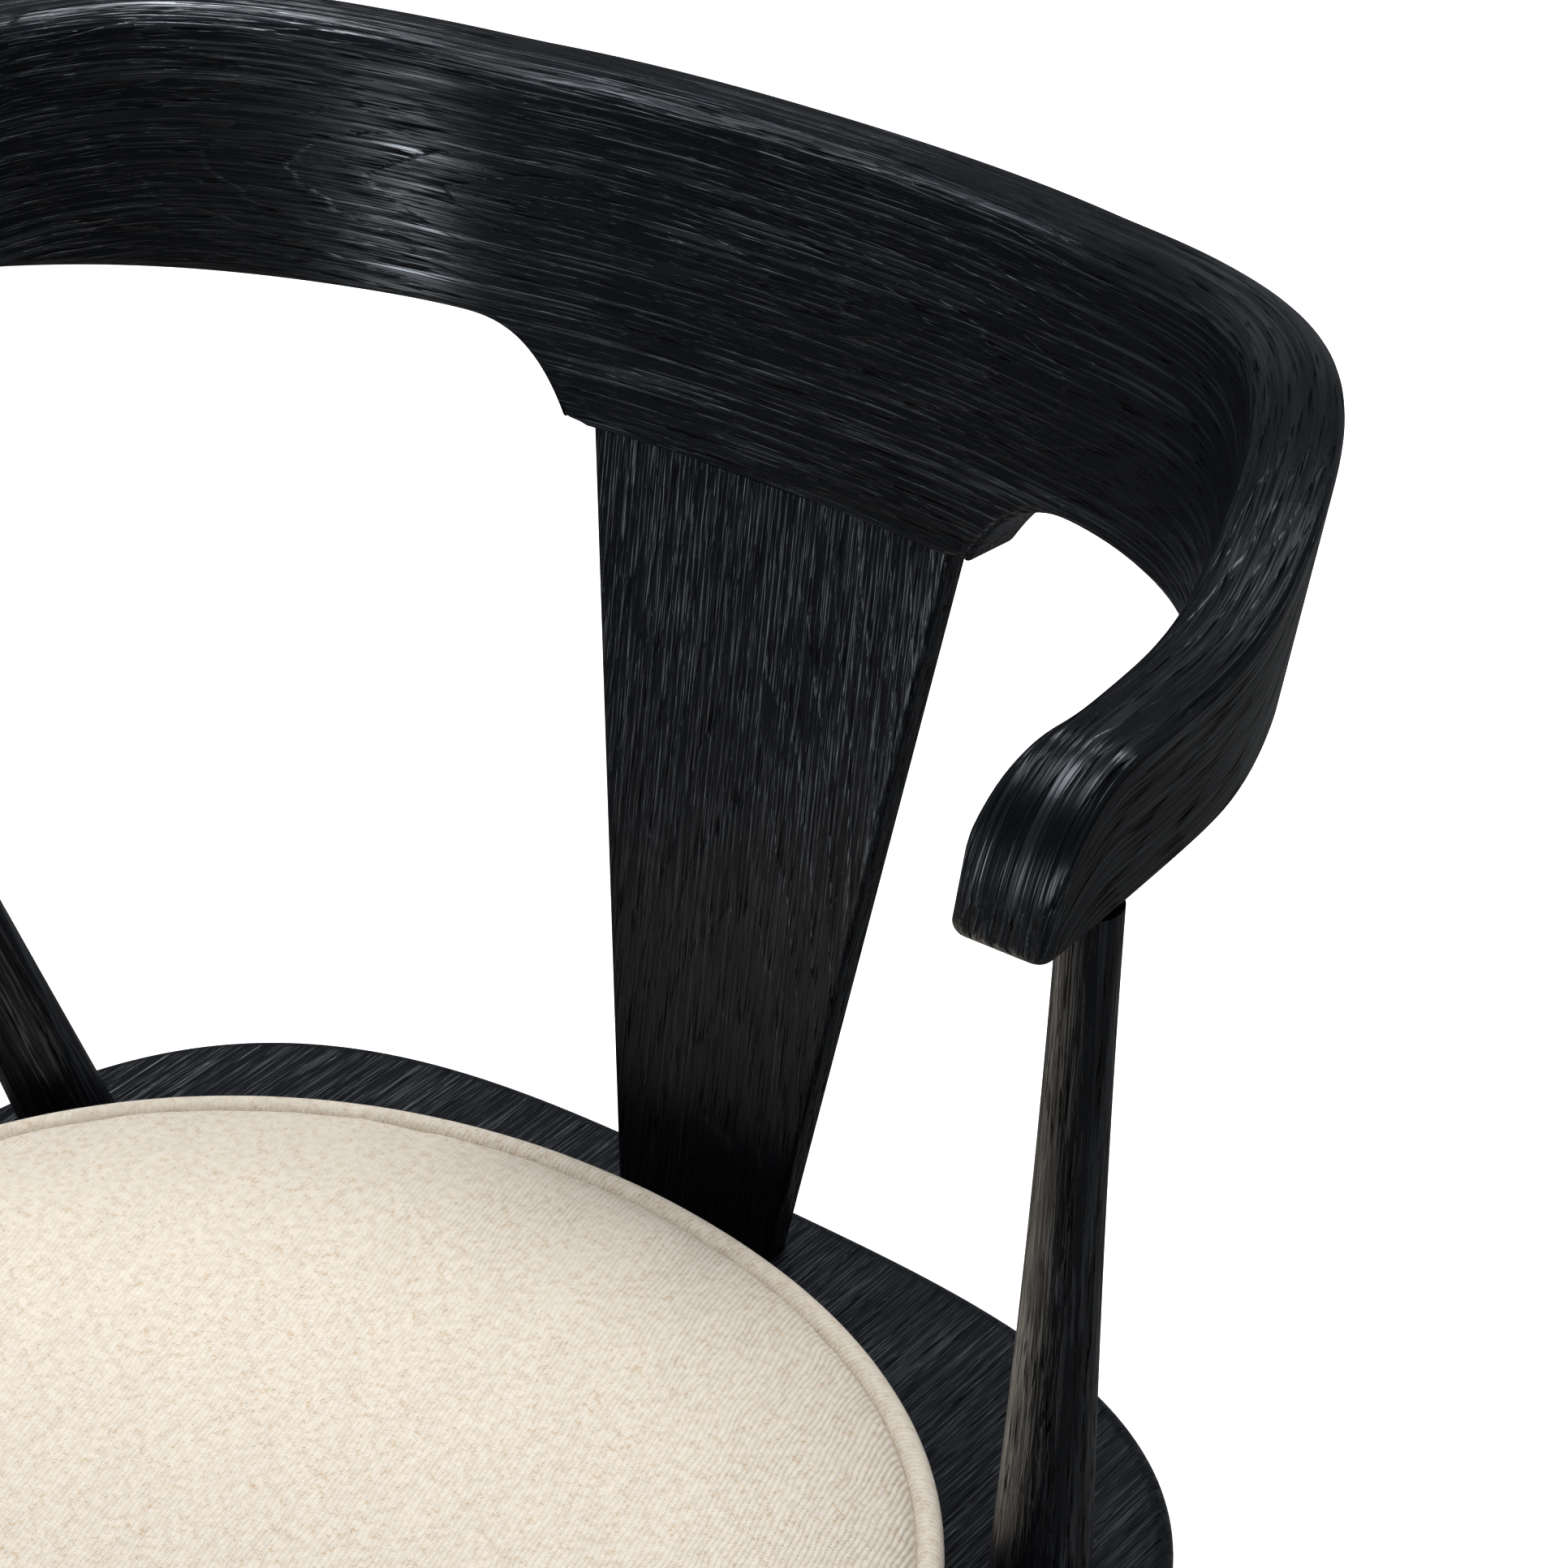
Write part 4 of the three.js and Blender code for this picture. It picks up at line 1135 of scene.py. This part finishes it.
# ---------------------------------------------------------------------------
# Turned posts and legs
# ---------------------------------------------------------------------------
@dataclass
class Spindle:
    """A leaning round spindle cut level at both ends, in millimetres.

    Args:
        low: The middle of its lower end on the drawing.
        high: The middle of its upper end.
        shares: Shares of the length where the profile is given.
        radii: Radii at those shares.
    """

    low: tuple[float, float, float]
    high: tuple[float, float, float]
    shares: tuple[float, ...]
    radii: tuple[float, ...]
    around: int = 56
    levels: int = 72

    def loft(self) -> Loft:
        """The spindle's skin, level ring by level ring."""
        low, high = np.array(self.low), np.array(self.high)
        axis = high - low
        length = float(np.linalg.norm(axis))
        across = axis[:2] / np.linalg.norm(axis[:2])
        beside = np.array([-across[1], across[0]])
        stretch = length / axis[2]
        shares = np.linspace(0, 1, self.levels)
        radii = through_points(list(self.shares), list(self.radii), shares)
        angle = np.linspace(0, 2 * math.pi, self.around, endpoint=False)
        rings, grain = [], []
        for share, radius in zip(shares, radii):
            a, b = radius * np.cos(angle), radius * np.sin(angle)
            plan = np.outer(a * stretch, across) + np.outer(b, beside)
            centre = low + axis * share
            rings.append(np.column_stack([plan + centre[:2], np.full(len(angle), centre[2])]))
            grain.append(np.stack([np.full(len(angle), share * length), a, b], 1))
        wear = np.zeros((len(rings), self.around))
        return Loft(placed(np.array(rings)), np.array(grain) * MM, wear)


@dataclass
class ArmPosts:
    """The two posts that carry the arms, in millimetres."""

    base: tuple[float, float] = (195.5, 141.0)
    top: tuple[float, float] = (254.8, 66.5)
    base_radius: float = 15.8
    top_radius: float = 8.0
    taper_shares: tuple[float, ...] = (0.0, 0.35, 0.65, 1.0)
    taper_drops: tuple[float, ...] = (0.0, 0.48, 0.8, 1.0)

    def build(self, oak: bpy.types.Material) -> None:
        """Builds both posts."""
        drop = self.base_radius - self.top_radius
        radii = tuple(self.base_radius - drop * share for share in self.taper_drops)
        for side, sign in SIDES.items():
            post = Spindle(
                (sign * self.base[0], self.base[1], SEAT_TOP_MM + HAIRLINE_MM),
                (sign * self.top[0], self.top[1], SEAT_TOP_MM + ARM_BOTTOM_MM - HAIRLINE_MM),
                self.taper_shares,
                radii,
            )
            name = f"arm_post_{side}"
            dress(post.loft().build(name + "_oak"), oak, "black_oak", name)


@dataclass
class Legs:
    """The four splayed legs, in millimetres."""

    top_x: float = 146.0
    foot_x: float = 206.0
    front_y: tuple[float, float] = (-172.0, -115.0)
    back_y: tuple[float, float] = (250.0, 170.0)
    foot_z: float = 5.3
    top_z: float = 371.4
    shares: tuple[float, ...] = (0.0, 0.33, 0.66, 0.85, 1.0)
    radii: tuple[float, ...] = (11.0, 15.2, 17.9, 17.3, 16.0)

    def build(self, oak: bpy.types.Material) -> None:
        """Builds all four legs."""
        for side, sign in SIDES.items():
            for end, (foot_y, top_y) in (("front", self.front_y), ("back", self.back_y)):
                leg = Spindle(
                    (sign * self.foot_x, foot_y, self.foot_z),
                    (sign * self.top_x, top_y, self.top_z),
                    self.shares,
                    self.radii,
                )
                name = f"leg_{end}_{side}"
                dress(leg.loft().build(name + "_oak"), oak, "black_oak", name)


# ---------------------------------------------------------------------------
# Geometry Nodes
# ---------------------------------------------------------------------------
class Tree:
    """A Geometry Nodes tree with named inputs, written as plain calls."""

    def __init__(self, name: str, inputs: dict[str, tuple[str, float]]) -> None:
        """Starts a tree.

        Args:
            name: The tree's name.
            inputs: For each named input, its socket type and its value.
        """
        self.group = bpy.data.node_groups.new(name, "GeometryNodeTree")
        face = self.group.interface
        face.new_socket("Geometry", in_out="INPUT", socket_type="NodeSocketGeometry")
        face.new_socket("Geometry", in_out="OUTPUT", socket_type="NodeSocketGeometry")
        self.values = inputs
        for label, (kind, _) in inputs.items():
            face.new_socket(label, in_out="INPUT", socket_type=kind)
        self.source = self.add("NodeGroupInput")
        self.result = self.add("NodeGroupOutput")

    def add(self, kind: str, **settings: object) -> bpy.types.Node:
        """Adds a node and sets its options."""
        node = self.group.nodes.new(kind)
        for name, value in settings.items():
            setattr(node, name, value)
        return node

    def join(self, start: Socket, end: Socket) -> None:
        """Links two sockets."""
        self.group.links.new(start, end)

    def given(self, label: str) -> Socket:
        """The output of a named input."""
        return self.source.outputs[label]

    def finish(self, shape: Socket, material: bpy.types.Material) -> None:
        """Ends the tree in Realize Instances and Set Material."""
        real = self.add("GeometryNodeRealizeInstances")
        paint = self.add("GeometryNodeSetMaterial")
        paint.inputs["Material"].default_value = material
        self.join(shape, real.inputs["Geometry"])
        self.join(real.outputs["Geometry"], paint.inputs["Geometry"])
        self.join(paint.outputs["Geometry"], self.result.inputs["Geometry"])

    def grow(self, piece: bpy.types.Object) -> bpy.types.Object:
        """Runs the tree on a piece and keeps the result as its plain mesh."""
        modifier = piece.modifiers.new(self.group.name, "NODES")
        modifier.node_group = self.group
        for item in self.group.interface.items_tree:
            if item.in_out == "INPUT" and item.name in self.values:
                modifier[item.identifier] = self.values[item.name][1]
        return frozen(piece)


@dataclass
class BattenScrews:
    """The countersunk socket screws that hold the battens, in millimetres."""

    batten_x: float = 146.0
    rows: tuple[float, ...] = (-60.0, 25.0, 115.0)
    head_z: float = 371.7
    head: float = 4.4
    shank: float = 2.2
    head_deep: float = 3.0
    length: float = 36.0
    socket: float = 2.3
    socket_deep: float = 1.9
    seed: int = 7

    def tree(self, steel: bpy.types.Material) -> Tree:
        """One screw on every point, each turned by its own angle."""
        size = "NodeSocketFloat"
        tree = Tree(
            "batten_screws",
            {
                "Head Radius": (size, self.head * MM),
                "Shank Radius": (size, self.shank * MM),
                "Head Depth": (size, self.head_deep * MM),
                "Shank Length": (size, (self.length - self.head_deep) * MM),
                "Socket Radius": (size, self.socket * MM),
                "Socket Depth": (size, self.socket_deep * 2 * MM),
                "Seed": ("NodeSocketInt", self.seed),
            },
        )
        head = tree.add("GeometryNodeMeshCone")
        head.inputs["Vertices"].default_value = 20
        tree.join(tree.given("Head Radius"), head.inputs["Radius Bottom"])
        tree.join(tree.given("Shank Radius"), head.inputs["Radius Top"])
        tree.join(tree.given("Head Depth"), head.inputs["Depth"])
        key = tree.add("GeometryNodeMeshCylinder")
        key.inputs["Vertices"].default_value = 6
        tree.join(tree.given("Socket Radius"), key.inputs["Radius"])
        tree.join(tree.given("Socket Depth"), key.inputs["Depth"])
        cut = tree.add("GeometryNodeMeshBoolean", operation="DIFFERENCE")
        tree.join(head.outputs["Mesh"], cut.inputs["Mesh 1"])
        tree.join(key.outputs["Mesh"], cut.inputs["Mesh 2"])
        rod = tree.add("GeometryNodeMeshCylinder")
        rod.inputs["Vertices"].default_value = 12
        tree.join(tree.given("Shank Radius"), rod.inputs["Radius"])
        tree.join(tree.given("Shank Length"), rod.inputs["Depth"])
        lifted = tree.add("GeometryNodeTransform")
        tree.join(rod.outputs["Mesh"], lifted.inputs["Geometry"])
        half = tree.add("ShaderNodeMath", operation="MULTIPLY_ADD")
        tree.join(tree.given("Shank Length"), half.inputs[0])
        half.inputs[1].default_value = 0.5
        tree.join(tree.given("Head Depth"), half.inputs[2])
        up = tree.add("ShaderNodeCombineXYZ")
        tree.join(half.outputs[0], up.inputs["Z"])
        tree.join(up.outputs["Vector"], lifted.inputs["Translation"])
        both = tree.add("GeometryNodeJoinGeometry")
        tree.join(cut.outputs["Mesh"], both.inputs["Geometry"])
        tree.join(lifted.outputs["Geometry"], both.inputs["Geometry"])
        angle = tree.add("FunctionNodeRandomValue", data_type="FLOAT_VECTOR")
        angle.inputs[1].default_value = (0.0, 0.0, 2 * math.pi)
        tree.join(tree.given("Seed"), angle.inputs["Seed"])
        spots = tree.add("GeometryNodeInstanceOnPoints")
        tree.join(tree.given("Geometry"), spots.inputs["Points"])
        tree.join(both.outputs["Geometry"], spots.inputs["Instance"])
        tree.join(angle.outputs[0], spots.inputs["Rotation"])
        tree.finish(spots.outputs["Instances"], steel)
        return tree

    def build(self, steel: bpy.types.Material) -> None:
        """Builds the six screws as one piece."""
        spots = [
            (sign * self.batten_x, row, self.head_z) for sign in SIDES.values() for row in self.rows
        ]
        mesh = bpy.data.meshes.new("batten_screws")
        mesh.from_pydata(placed(np.array(spots)).tolist(), [], [])
        piece = self.tree(steel).grow(link("batten_screws", mesh))
        piece.data.set_sharp_from_angle(angle=math.radians(30))
        nodes = [
            f"batten_screw_{place}_{side}"
            for side in SIDES
            for place in ("front", "middle", "back")
        ]
        dress(piece, steel, "zinc_steel", *nodes)


# ---------------------------------------------------------------------------
# Cushion
# ---------------------------------------------------------------------------
@dataclass
class Cushion:
    """The round boxed cushion and its welt. Heights are above the seat board."""

    radius: float = 209.0
    flat: float = 5.7
    welt_radius: float = 4.0
    welt_z: float = 27.0
    crown: float = 12.5
    base_z: float = 0.5
    side_inset: float = 5.0
    panel_inset: float = 7.2
    voxel: float = 5.0
    pressure: float = 4.0
    frames: int = 20
    cap: float = 2.5
    start_crown: float = 9.0
    shoulder: float = 12.0
    roll: float = 0.45
    held_base: float = 3.0
    held_seam: float = 4.2
    puckers: tuple[int, int, int] = (16, 58, 9)
    pucker_height: float = 0.42
    pucker_reach: float = 11.0
    crease_depth: float = 1.6
    crease_reach: float = 4.0
    swells: int = 7
    swell_pitch: tuple[float, float] = (70.0, 150.0)
    swell_height: float = 0.35
    swell_reach: float = 30.0
    seed: int = 11

    def edge(self, angle: np.ndarray, inset: float) -> np.ndarray:
        """Radius of the outline at angles from straight back."""
        return self.radius - inset - self.flat * np.cos(3 * angle)

    def ring(self, inset: float, height: float, share: float = 1.0, count: int = 180) -> np.ndarray:
        """A ring of the outline, drawn in by an inset and then by a share."""
        angle = np.linspace(0, 2 * math.pi, count, endpoint=False)
        reach = self.edge(angle, inset) * share
        level = np.full(count, SEAT_TOP_MM + height)
        return np.stack([reach * np.sin(angle), reach * np.cos(angle), level], 1)

    def blank(self) -> bpy.types.Object:
        """The slightly small closed form that the cloth is blown up from."""
        seam = self.welt_z + 1.0
        shares = (0.04, 0.5, 0.9, 0.985)
        rings = [self.ring(self.side_inset, self.base_z, share) for share in shares]
        rings.append(self.ring(self.side_inset, self.base_z + 0.8))
        for share in (0.15, 0.35, 0.5, 0.65, 0.85):
            rings.append(self.ring(self.side_inset + 0.6, share * self.welt_z))
        rings.append(self.ring(self.panel_inset - 1.2, seam - 1.2))
        for share in (0.99, 0.95, 0.88, 0.78, 0.65, 0.5, 0.35, 0.2, 0.05):
            height = seam + self.start_crown * (1 - share**self.shoulder) ** self.roll
            rings.append(self.ring(self.panel_inset, height, share))
        return Loft(placed(np.array(rings))).build("seat_pad")

    def remeshed(self, piece: bpy.types.Object) -> None:
        """Gives a form an even net of small faces."""
        remesh = piece.modifiers.new("even", "REMESH")
        remesh.mode = "VOXEL"
        remesh.voxel_size = self.voxel * MM
        frozen(piece)

    def pins(self, piece: bpy.types.Object) -> bpy.types.VertexGroup:
        """Holds the flat underside and the seam under the welt."""
        group = piece.vertex_groups.new(name="sewn")
        low = (SEAT_TOP_MM + self.base_z + self.held_base) * MM
        seam = (SEAT_TOP_MM + self.welt_z - self.welt_radius) * MM
        for vertex in piece.data.vertices:
            x, y, z = vertex.co
            y -= SHIFT_MM * MM
            rim = self.edge(np.array(math.atan2(x, y)), self.panel_inset) * MM
            from_rim = rim - math.hypot(x, y)
            at_seam = abs(from_rim) < self.held_seam * MM and z > seam
            if z < low or at_seam:
                group.add([vertex.index], 1.0, "REPLACE")
        return group

    def blown(self, piece: bpy.types.Object) -> None:
        """Blows the cloth up over the filling and keeps the result."""
        before = self.points(piece)
        cloth = piece.modifiers.new("cloth", "CLOTH")
        settings = cloth.settings
        settings.quality = 6
        settings.mass = 0.3
        settings.tension_stiffness = 22
        settings.compression_stiffness = 22
        settings.shear_stiffness = 9
        settings.bending_stiffness = 0.8
        settings.use_pressure = True
        settings.uniform_pressure_force = self.pressure
        settings.vertex_group_mass = self.pins(piece).name
        settings.effector_weights.gravity = 0
        cloth.point_cache.frame_start = 1
        cloth.point_cache.frame_end = self.frames
        for number in range(1, self.frames + 1):
            bpy.context.scene.frame_set(number)
        graph = bpy.context.evaluated_depsgraph_get()
        after = self.points(piece.evaluated_get(graph))
        piece.modifiers.clear()
        piece.vertex_groups.clear()
        bpy.context.scene.frame_set(1)
        move = after - before
        reach = np.linalg.norm(move, axis=1)
        held = np.minimum(reach, self.cap * MM) / np.maximum(reach, 1e-9)
        moved = before + move * held[:, None]
        LOG.info("pad cloth moved up to %.1f mm", float((reach * held).max() / MM))
        self.put_points(piece, moved)

    @staticmethod
    def points(piece: bpy.types.Object) -> np.ndarray:
        """The piece's vertices as an array."""
        flat = np.zeros(len(piece.data.vertices) * 3, np.float32)
        piece.data.vertices.foreach_get("co", flat)
        return flat.reshape(-1, 3).astype(float)

    @staticmethod
    def put_points(piece: bpy.types.Object, points: np.ndarray) -> None:
        """Writes the piece's vertices back."""
        piece.data.vertices.foreach_set("co", points.astype(np.float32).ravel())
        piece.data.update()

    def sewn(self, piece: bpy.types.Object) -> None:
        """Draws the panel down to its seam, with small puckers along it."""
        points = self.points(piece)
        x, y = points[:, 0] / MM, points[:, 1] / MM - SHIFT_MM
        z = points[:, 2] / MM - SEAT_TOP_MM
        angle = np.arctan2(x, y)
        reach = np.hypot(x, y)
        inside = np.maximum(self.edge(angle, self.panel_inset) - reach, 0.0)
        top = np.clip((z - self.welt_z + 3.0) / 3.0, 0.0, 1.0)
        draw = np.random.default_rng(self.seed)
        pucker = np.zeros(len(points))
        for waves in draw.integers(*self.puckers):
            pucker += np.sin(waves * angle + draw.uniform(0, 2 * math.pi)) / 3.0
        swell = np.zeros(len(points))
        for _ in range(self.swells):
            turn, pitch = draw.uniform(0, math.pi), draw.uniform(*self.swell_pitch)
            run = x * math.cos(turn) + y * math.sin(turn)
            swell += np.sin(2 * math.pi * run / pitch + draw.uniform(0, 2 * math.pi)) / 2.6
        crease = np.exp(-inside / self.crease_reach)
        edge_wave = np.exp(-inside / self.pucker_reach) * (1 - 0.6 * crease)
        away = 1 - np.exp(-inside / self.swell_reach)
        lift = self.pucker_height * pucker * edge_wave + self.swell_height * swell * away
        lift -= self.crease_depth * crease
        ceiling = self.welt_z + 2.0 + self.crown
        height = np.minimum(z + lift * top, ceiling - 0.2)
        points[:, 2] = (SEAT_TOP_MM + height) * MM
        self.put_points(piece, points)

    def crowned(self, piece: bpy.types.Object) -> None:
        """Brings the blown crown to the height of the sewn pattern."""
        points = self.points(piece)
        z = points[:, 2] / MM - SEAT_TOP_MM
        start = self.welt_z + 1.0
        wanted = self.welt_z + 1.6 + self.crown - start
        above = np.maximum(z - start, 0.0)
        points[:, 2] = (SEAT_TOP_MM + np.minimum(z, start) + above * wanted / above.max()) * MM
        self.put_points(piece, points)

    def pad(self, cloth: OatmealCloth) -> None:
        """Builds the upholstered pad."""
        piece = self.blank()
        self.remeshed(piece)
        self.blown(piece)
        self.crowned(piece)
        divide = piece.modifiers.new("smooth", "SUBSURF")
        divide.levels = divide.render_levels = 1
        frozen(piece)
        self.sewn(piece)
        face_outwards(piece.data)
        piece.data.shade_smooth()
        finish = cloth.material(self.radius * MM)
        nodes = ("cushion_top_panel", "cushion_boxing", "cushion_foam")
        dress(piece, finish, "oatmeal_cloth", *nodes)

    def welt_tree(self, material: bpy.types.Material) -> Tree:
        """A covered cord swept along the edge, slightly uneven by hand sewing."""
        size = "NodeSocketFloat"
        tree = Tree(
            "cushion_welt",
            {
                "Cord Radius": (size, self.welt_radius * MM),
                "Unevenness": (size, 0.5 * MM),
                "Waviness": (size, 26.0),
                "Sides": ("NodeSocketInt", 22),
                "Seed": (size, float(self.seed)),
            },
        )
        line = tree.add("GeometryNodeMeshToCurve")
        tree.join(tree.given("Geometry"), line.inputs["Mesh"])
        place = tree.add("GeometryNodeInputPosition")
        wave = tree.add("ShaderNodeTexNoise", noise_dimensions="4D")
        tree.join(place.outputs["Position"], wave.inputs["Vector"])
        tree.join(tree.given("Waviness"), wave.inputs["Scale"])
        tree.join(tree.given("Seed"), wave.inputs["W"])
        centred = tree.add("ShaderNodeVectorMath", operation="SUBTRACT")
        tree.join(wave.outputs["Color"], centred.inputs[0])
        centred.inputs[1].default_value = (0.5, 0.5, 0.5)
        shift = tree.add("ShaderNodeVectorMath", operation="SCALE")
        tree.join(centred.outputs["Vector"], shift.inputs[0])
        tree.join(tree.given("Unevenness"), shift.inputs["Scale"])
        moved = tree.add("GeometryNodeSetPosition")
        tree.join(line.outputs["Curve"], moved.inputs["Geometry"])
        tree.join(shift.outputs["Vector"], moved.inputs["Offset"])
        profile = tree.add("GeometryNodeCurvePrimitiveCircle")
        tree.join(tree.given("Cord Radius"), profile.inputs["Radius"])
        tree.join(tree.given("Sides"), profile.inputs["Resolution"])
        around = tree.add("GeometryNodeCaptureAttribute", domain="POINT")
        around.capture_items.new("VECTOR", "Round")
        tree.join(profile.outputs["Curve"], around.inputs["Geometry"])
        tree.join(place.outputs["Position"], around.inputs[1])
        sweep = tree.add("GeometryNodeCurveToMesh")
        tree.join(moved.outputs["Geometry"], sweep.inputs["Curve"])
        tree.join(around.outputs["Geometry"], sweep.inputs["Profile Curve"])
        named = tree.add(
            "GeometryNodeStoreNamedAttribute", data_type="FLOAT_VECTOR", domain="POINT"
        )
        named.inputs["Name"].default_value = ROUND
        tree.join(sweep.outputs["Mesh"], named.inputs["Geometry"])
        tree.join(around.outputs[1], named.inputs["Value"])
        tree.finish(named.outputs["Geometry"], material)
        return tree

    def welt(self, cloth: OatmealCloth) -> None:
        """Builds the welt round the cushion's top edge."""
        line = placed(self.ring(self.welt_radius, self.welt_z, count=360))
        count = len(line)
        mesh = bpy.data.meshes.new("cushion_welt_cord")
        mesh.from_pydata(line.tolist(), [(k, (k + 1) % count) for k in range(count)], [])
        finish = cloth.cord_material(self.radius * MM, self.welt_radius * MM)
        piece = self.welt_tree(finish).grow(link("cushion_welt_cord", mesh))
        face_outwards(piece.data)
        piece.data.shade_smooth()
        dress(piece, finish, "oatmeal_cloth", "cushion_welt")

    def build(self, cloth: OatmealCloth) -> None:
        """Builds the pad and its welt."""
        self.pad(cloth)
        self.welt(cloth)


# ---------------------------------------------------------------------------
# Parts whose CAD shape is already right
# ---------------------------------------------------------------------------
@dataclass
class HiddenParts:
    """The battens, dowels, board, bolts and glides, which keep their CAD shape."""

    finishes: dict[str, bpy.types.Material]

    def dress(self) -> None:
        """Gives every shown CAD node the finish of its kind."""
        for name, node in sorted(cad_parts.items()):
            if node.hide_render:
                continue
            kind = next(kind for kind in self.finishes if kind in name)
            for slot in node.material_slots:
                slot.material = self.finishes[kind]
            LOG.info("%s keeps its CAD shape, as %s", name, self.finishes[kind].name)


# ---------------------------------------------------------------------------
# Studio
# ---------------------------------------------------------------------------
@dataclass
class SoftBox:
    """One soft studio light."""

    name: str
    place: tuple[float, float, float]
    aim: tuple[float, float, float]
    size: tuple[float, float]
    watts: float
    spread_degrees: float = 180.0
    tint: Colour = (1.0, 1.0, 1.0)

    def build(self) -> None:
        """Hangs the light."""
        lamp = bpy.data.lights.new(self.name, "AREA")
        lamp.shape = "RECTANGLE"
        lamp.size, lamp.size_y = self.size
        lamp.energy = self.watts
        lamp.color = self.tint
        lamp.spread = math.radians(self.spread_degrees)
        made = bpy.data.objects.new(self.name, lamp)
        made.location = self.place
        away = Vector(self.place) - Vector(self.aim)
        made.rotation_euler = away.to_track_quat("Z", "Y").to_euler()
        bpy.context.scene.collection.objects.link(made)


@dataclass
class Studio:
    """Pale floor, soft light and the camera."""

    azimuth: float = 38.0242
    elevation: float = 31.9716
    roll: float = -0.4714
    lens: float = 101.54
    sensor: float = 36.0
    place: tuple[float, float, float] = (0.72765, -0.65425, 1.30127)
    floor_half: float = 30.0
    air: Colour = (0.94, 0.97, 1.0)
    air_strength: float = 0.13

    def floor(self) -> None:
        """Lays the floor."""
        half = self.floor_half
        corners = [(-half, -half, 0.0), (half, -half, 0.0), (half, half, 0.0), (-half, half, 0.0)]
        mesh = bpy.data.meshes.new("floor")
        mesh.from_pydata(corners, [], [(0, 1, 2, 3)])
        mesh.materials.append(StudioPaper("studio_paper").material())
        laid = link("floor", mesh)
        laid.visible_glossy = False

    def light(self) -> None:
        """Lights the room."""
        world = bpy.data.worlds.new("studio_air")
        world.use_nodes = True
        air = world.node_tree.nodes["Background"]
        air.inputs["Color"].default_value = (*self.air, 1.0)
        air.inputs["Strength"].default_value = self.air_strength
        bpy.context.scene.world = world
        boxes = [
            SoftBox("key", (-0.8, -0.55, 2.5), (0.0, 0.05, 0.55), (1.1, 1.4), 7.2, 80.0),
            SoftBox("low_card", (0.12, -1.15, 0.40), (-0.14, 0.24, 0.75), (0.42, 0.5), 2.6, 90.0),
            SoftBox("floor_wash", (-0.3, 1.5, 3.1), (-0.75, 1.35, 0.0), (1.6, 1.2), 52.0, 75.0),
        ]
        for box in boxes:
            box.build()

    def camera(self) -> None:
        """Sets up the camera."""
        turn, rise, roll = (math.radians(a) for a in (self.azimuth, self.elevation, self.roll))
        back = Vector(
            (math.sin(turn) * math.cos(rise), -math.cos(turn) * math.cos(rise), math.sin(rise))
        )
        right = Vector((math.cos(turn), math.sin(turn), 0.0))
        up = back.cross(right)
        across = right * math.cos(roll) + up * math.sin(roll)
        above = up * math.cos(roll) - right * math.sin(roll)
        lens = bpy.data.cameras.new("camera")
        lens.lens = self.lens
        lens.sensor_width = self.sensor
        lens.clip_start, lens.clip_end = 0.05, 100.0
        made = bpy.data.objects.new("camera", lens)
        matrix = Matrix((across, above, back)).transposed().to_4x4()
        matrix.translation = Vector(self.place) + Vector((0.0, SHIFT_MM * MM, 0.0))
        made.matrix_world = matrix
        bpy.context.scene.collection.objects.link(made)
        bpy.context.scene.camera = made

    def build(self) -> None:
        """Builds the floor, the lights and the camera."""
        bpy.context.scene.view_settings.view_transform = "Standard"
        self.floor()
        self.light()
        self.camera()


def main() -> None:
    """Builds every sub-assembly in order."""
    logging.basicConfig(level=logging.INFO, format="%(message)s")
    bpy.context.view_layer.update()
    Studio().build()
    rail_oak = BlackOak("black_oak_rail", heart_across=0.036, heart_depth=0.020, taper=0.16)
    seat_oak = BlackOak(
        "black_oak_seat", heart_across=-0.05, heart_depth=0.07, taper=0.10, figure=0.5
    )
    splat_oak = BlackOak(
        "black_oak_splat", heart_across=0.006, heart_depth=0.030, taper=0.12, figure=0.25
    )
    turned_oak = BlackOak("black_oak_turned", heart_across=0.05, heart_depth=0.03, taper=0.02)
    batten_oak = BlackOak("black_oak_batten", source=GrainSource.FRONT_TO_BACK)
    rail = BackRail()
    rail.build(rail_oak.material())
    BackSplat().build(splat_oak.material(), rail)
    SeatBoard().build(seat_oak.material())
    turned = turned_oak.material()
    ArmPosts().build(turned)
    Legs().build(turned)
    steel = ZincSteel("zinc_steel").material()
    BattenScrews().build(steel)
    Cushion().build(OatmealCloth("oatmeal_cloth"))
    beech = BareWood("beech", (0.60, 0.42, 0.24), (0.46, 0.30, 0.16), 0.004)
    birch = BareWood("birch_ply", (0.62, 0.47, 0.29), (0.42, 0.28, 0.15), 0.0013)
    HiddenParts(
        {
            "batten": batten_oak.material(),
            "dowel": beech.material(),
            "board": birch.material(),
            "bolt": steel,
            "tee_nut": steel,
            "glide": Nylon("nylon").material(),
        }
    ).dress()


if __name__ == "__main__":
    main()
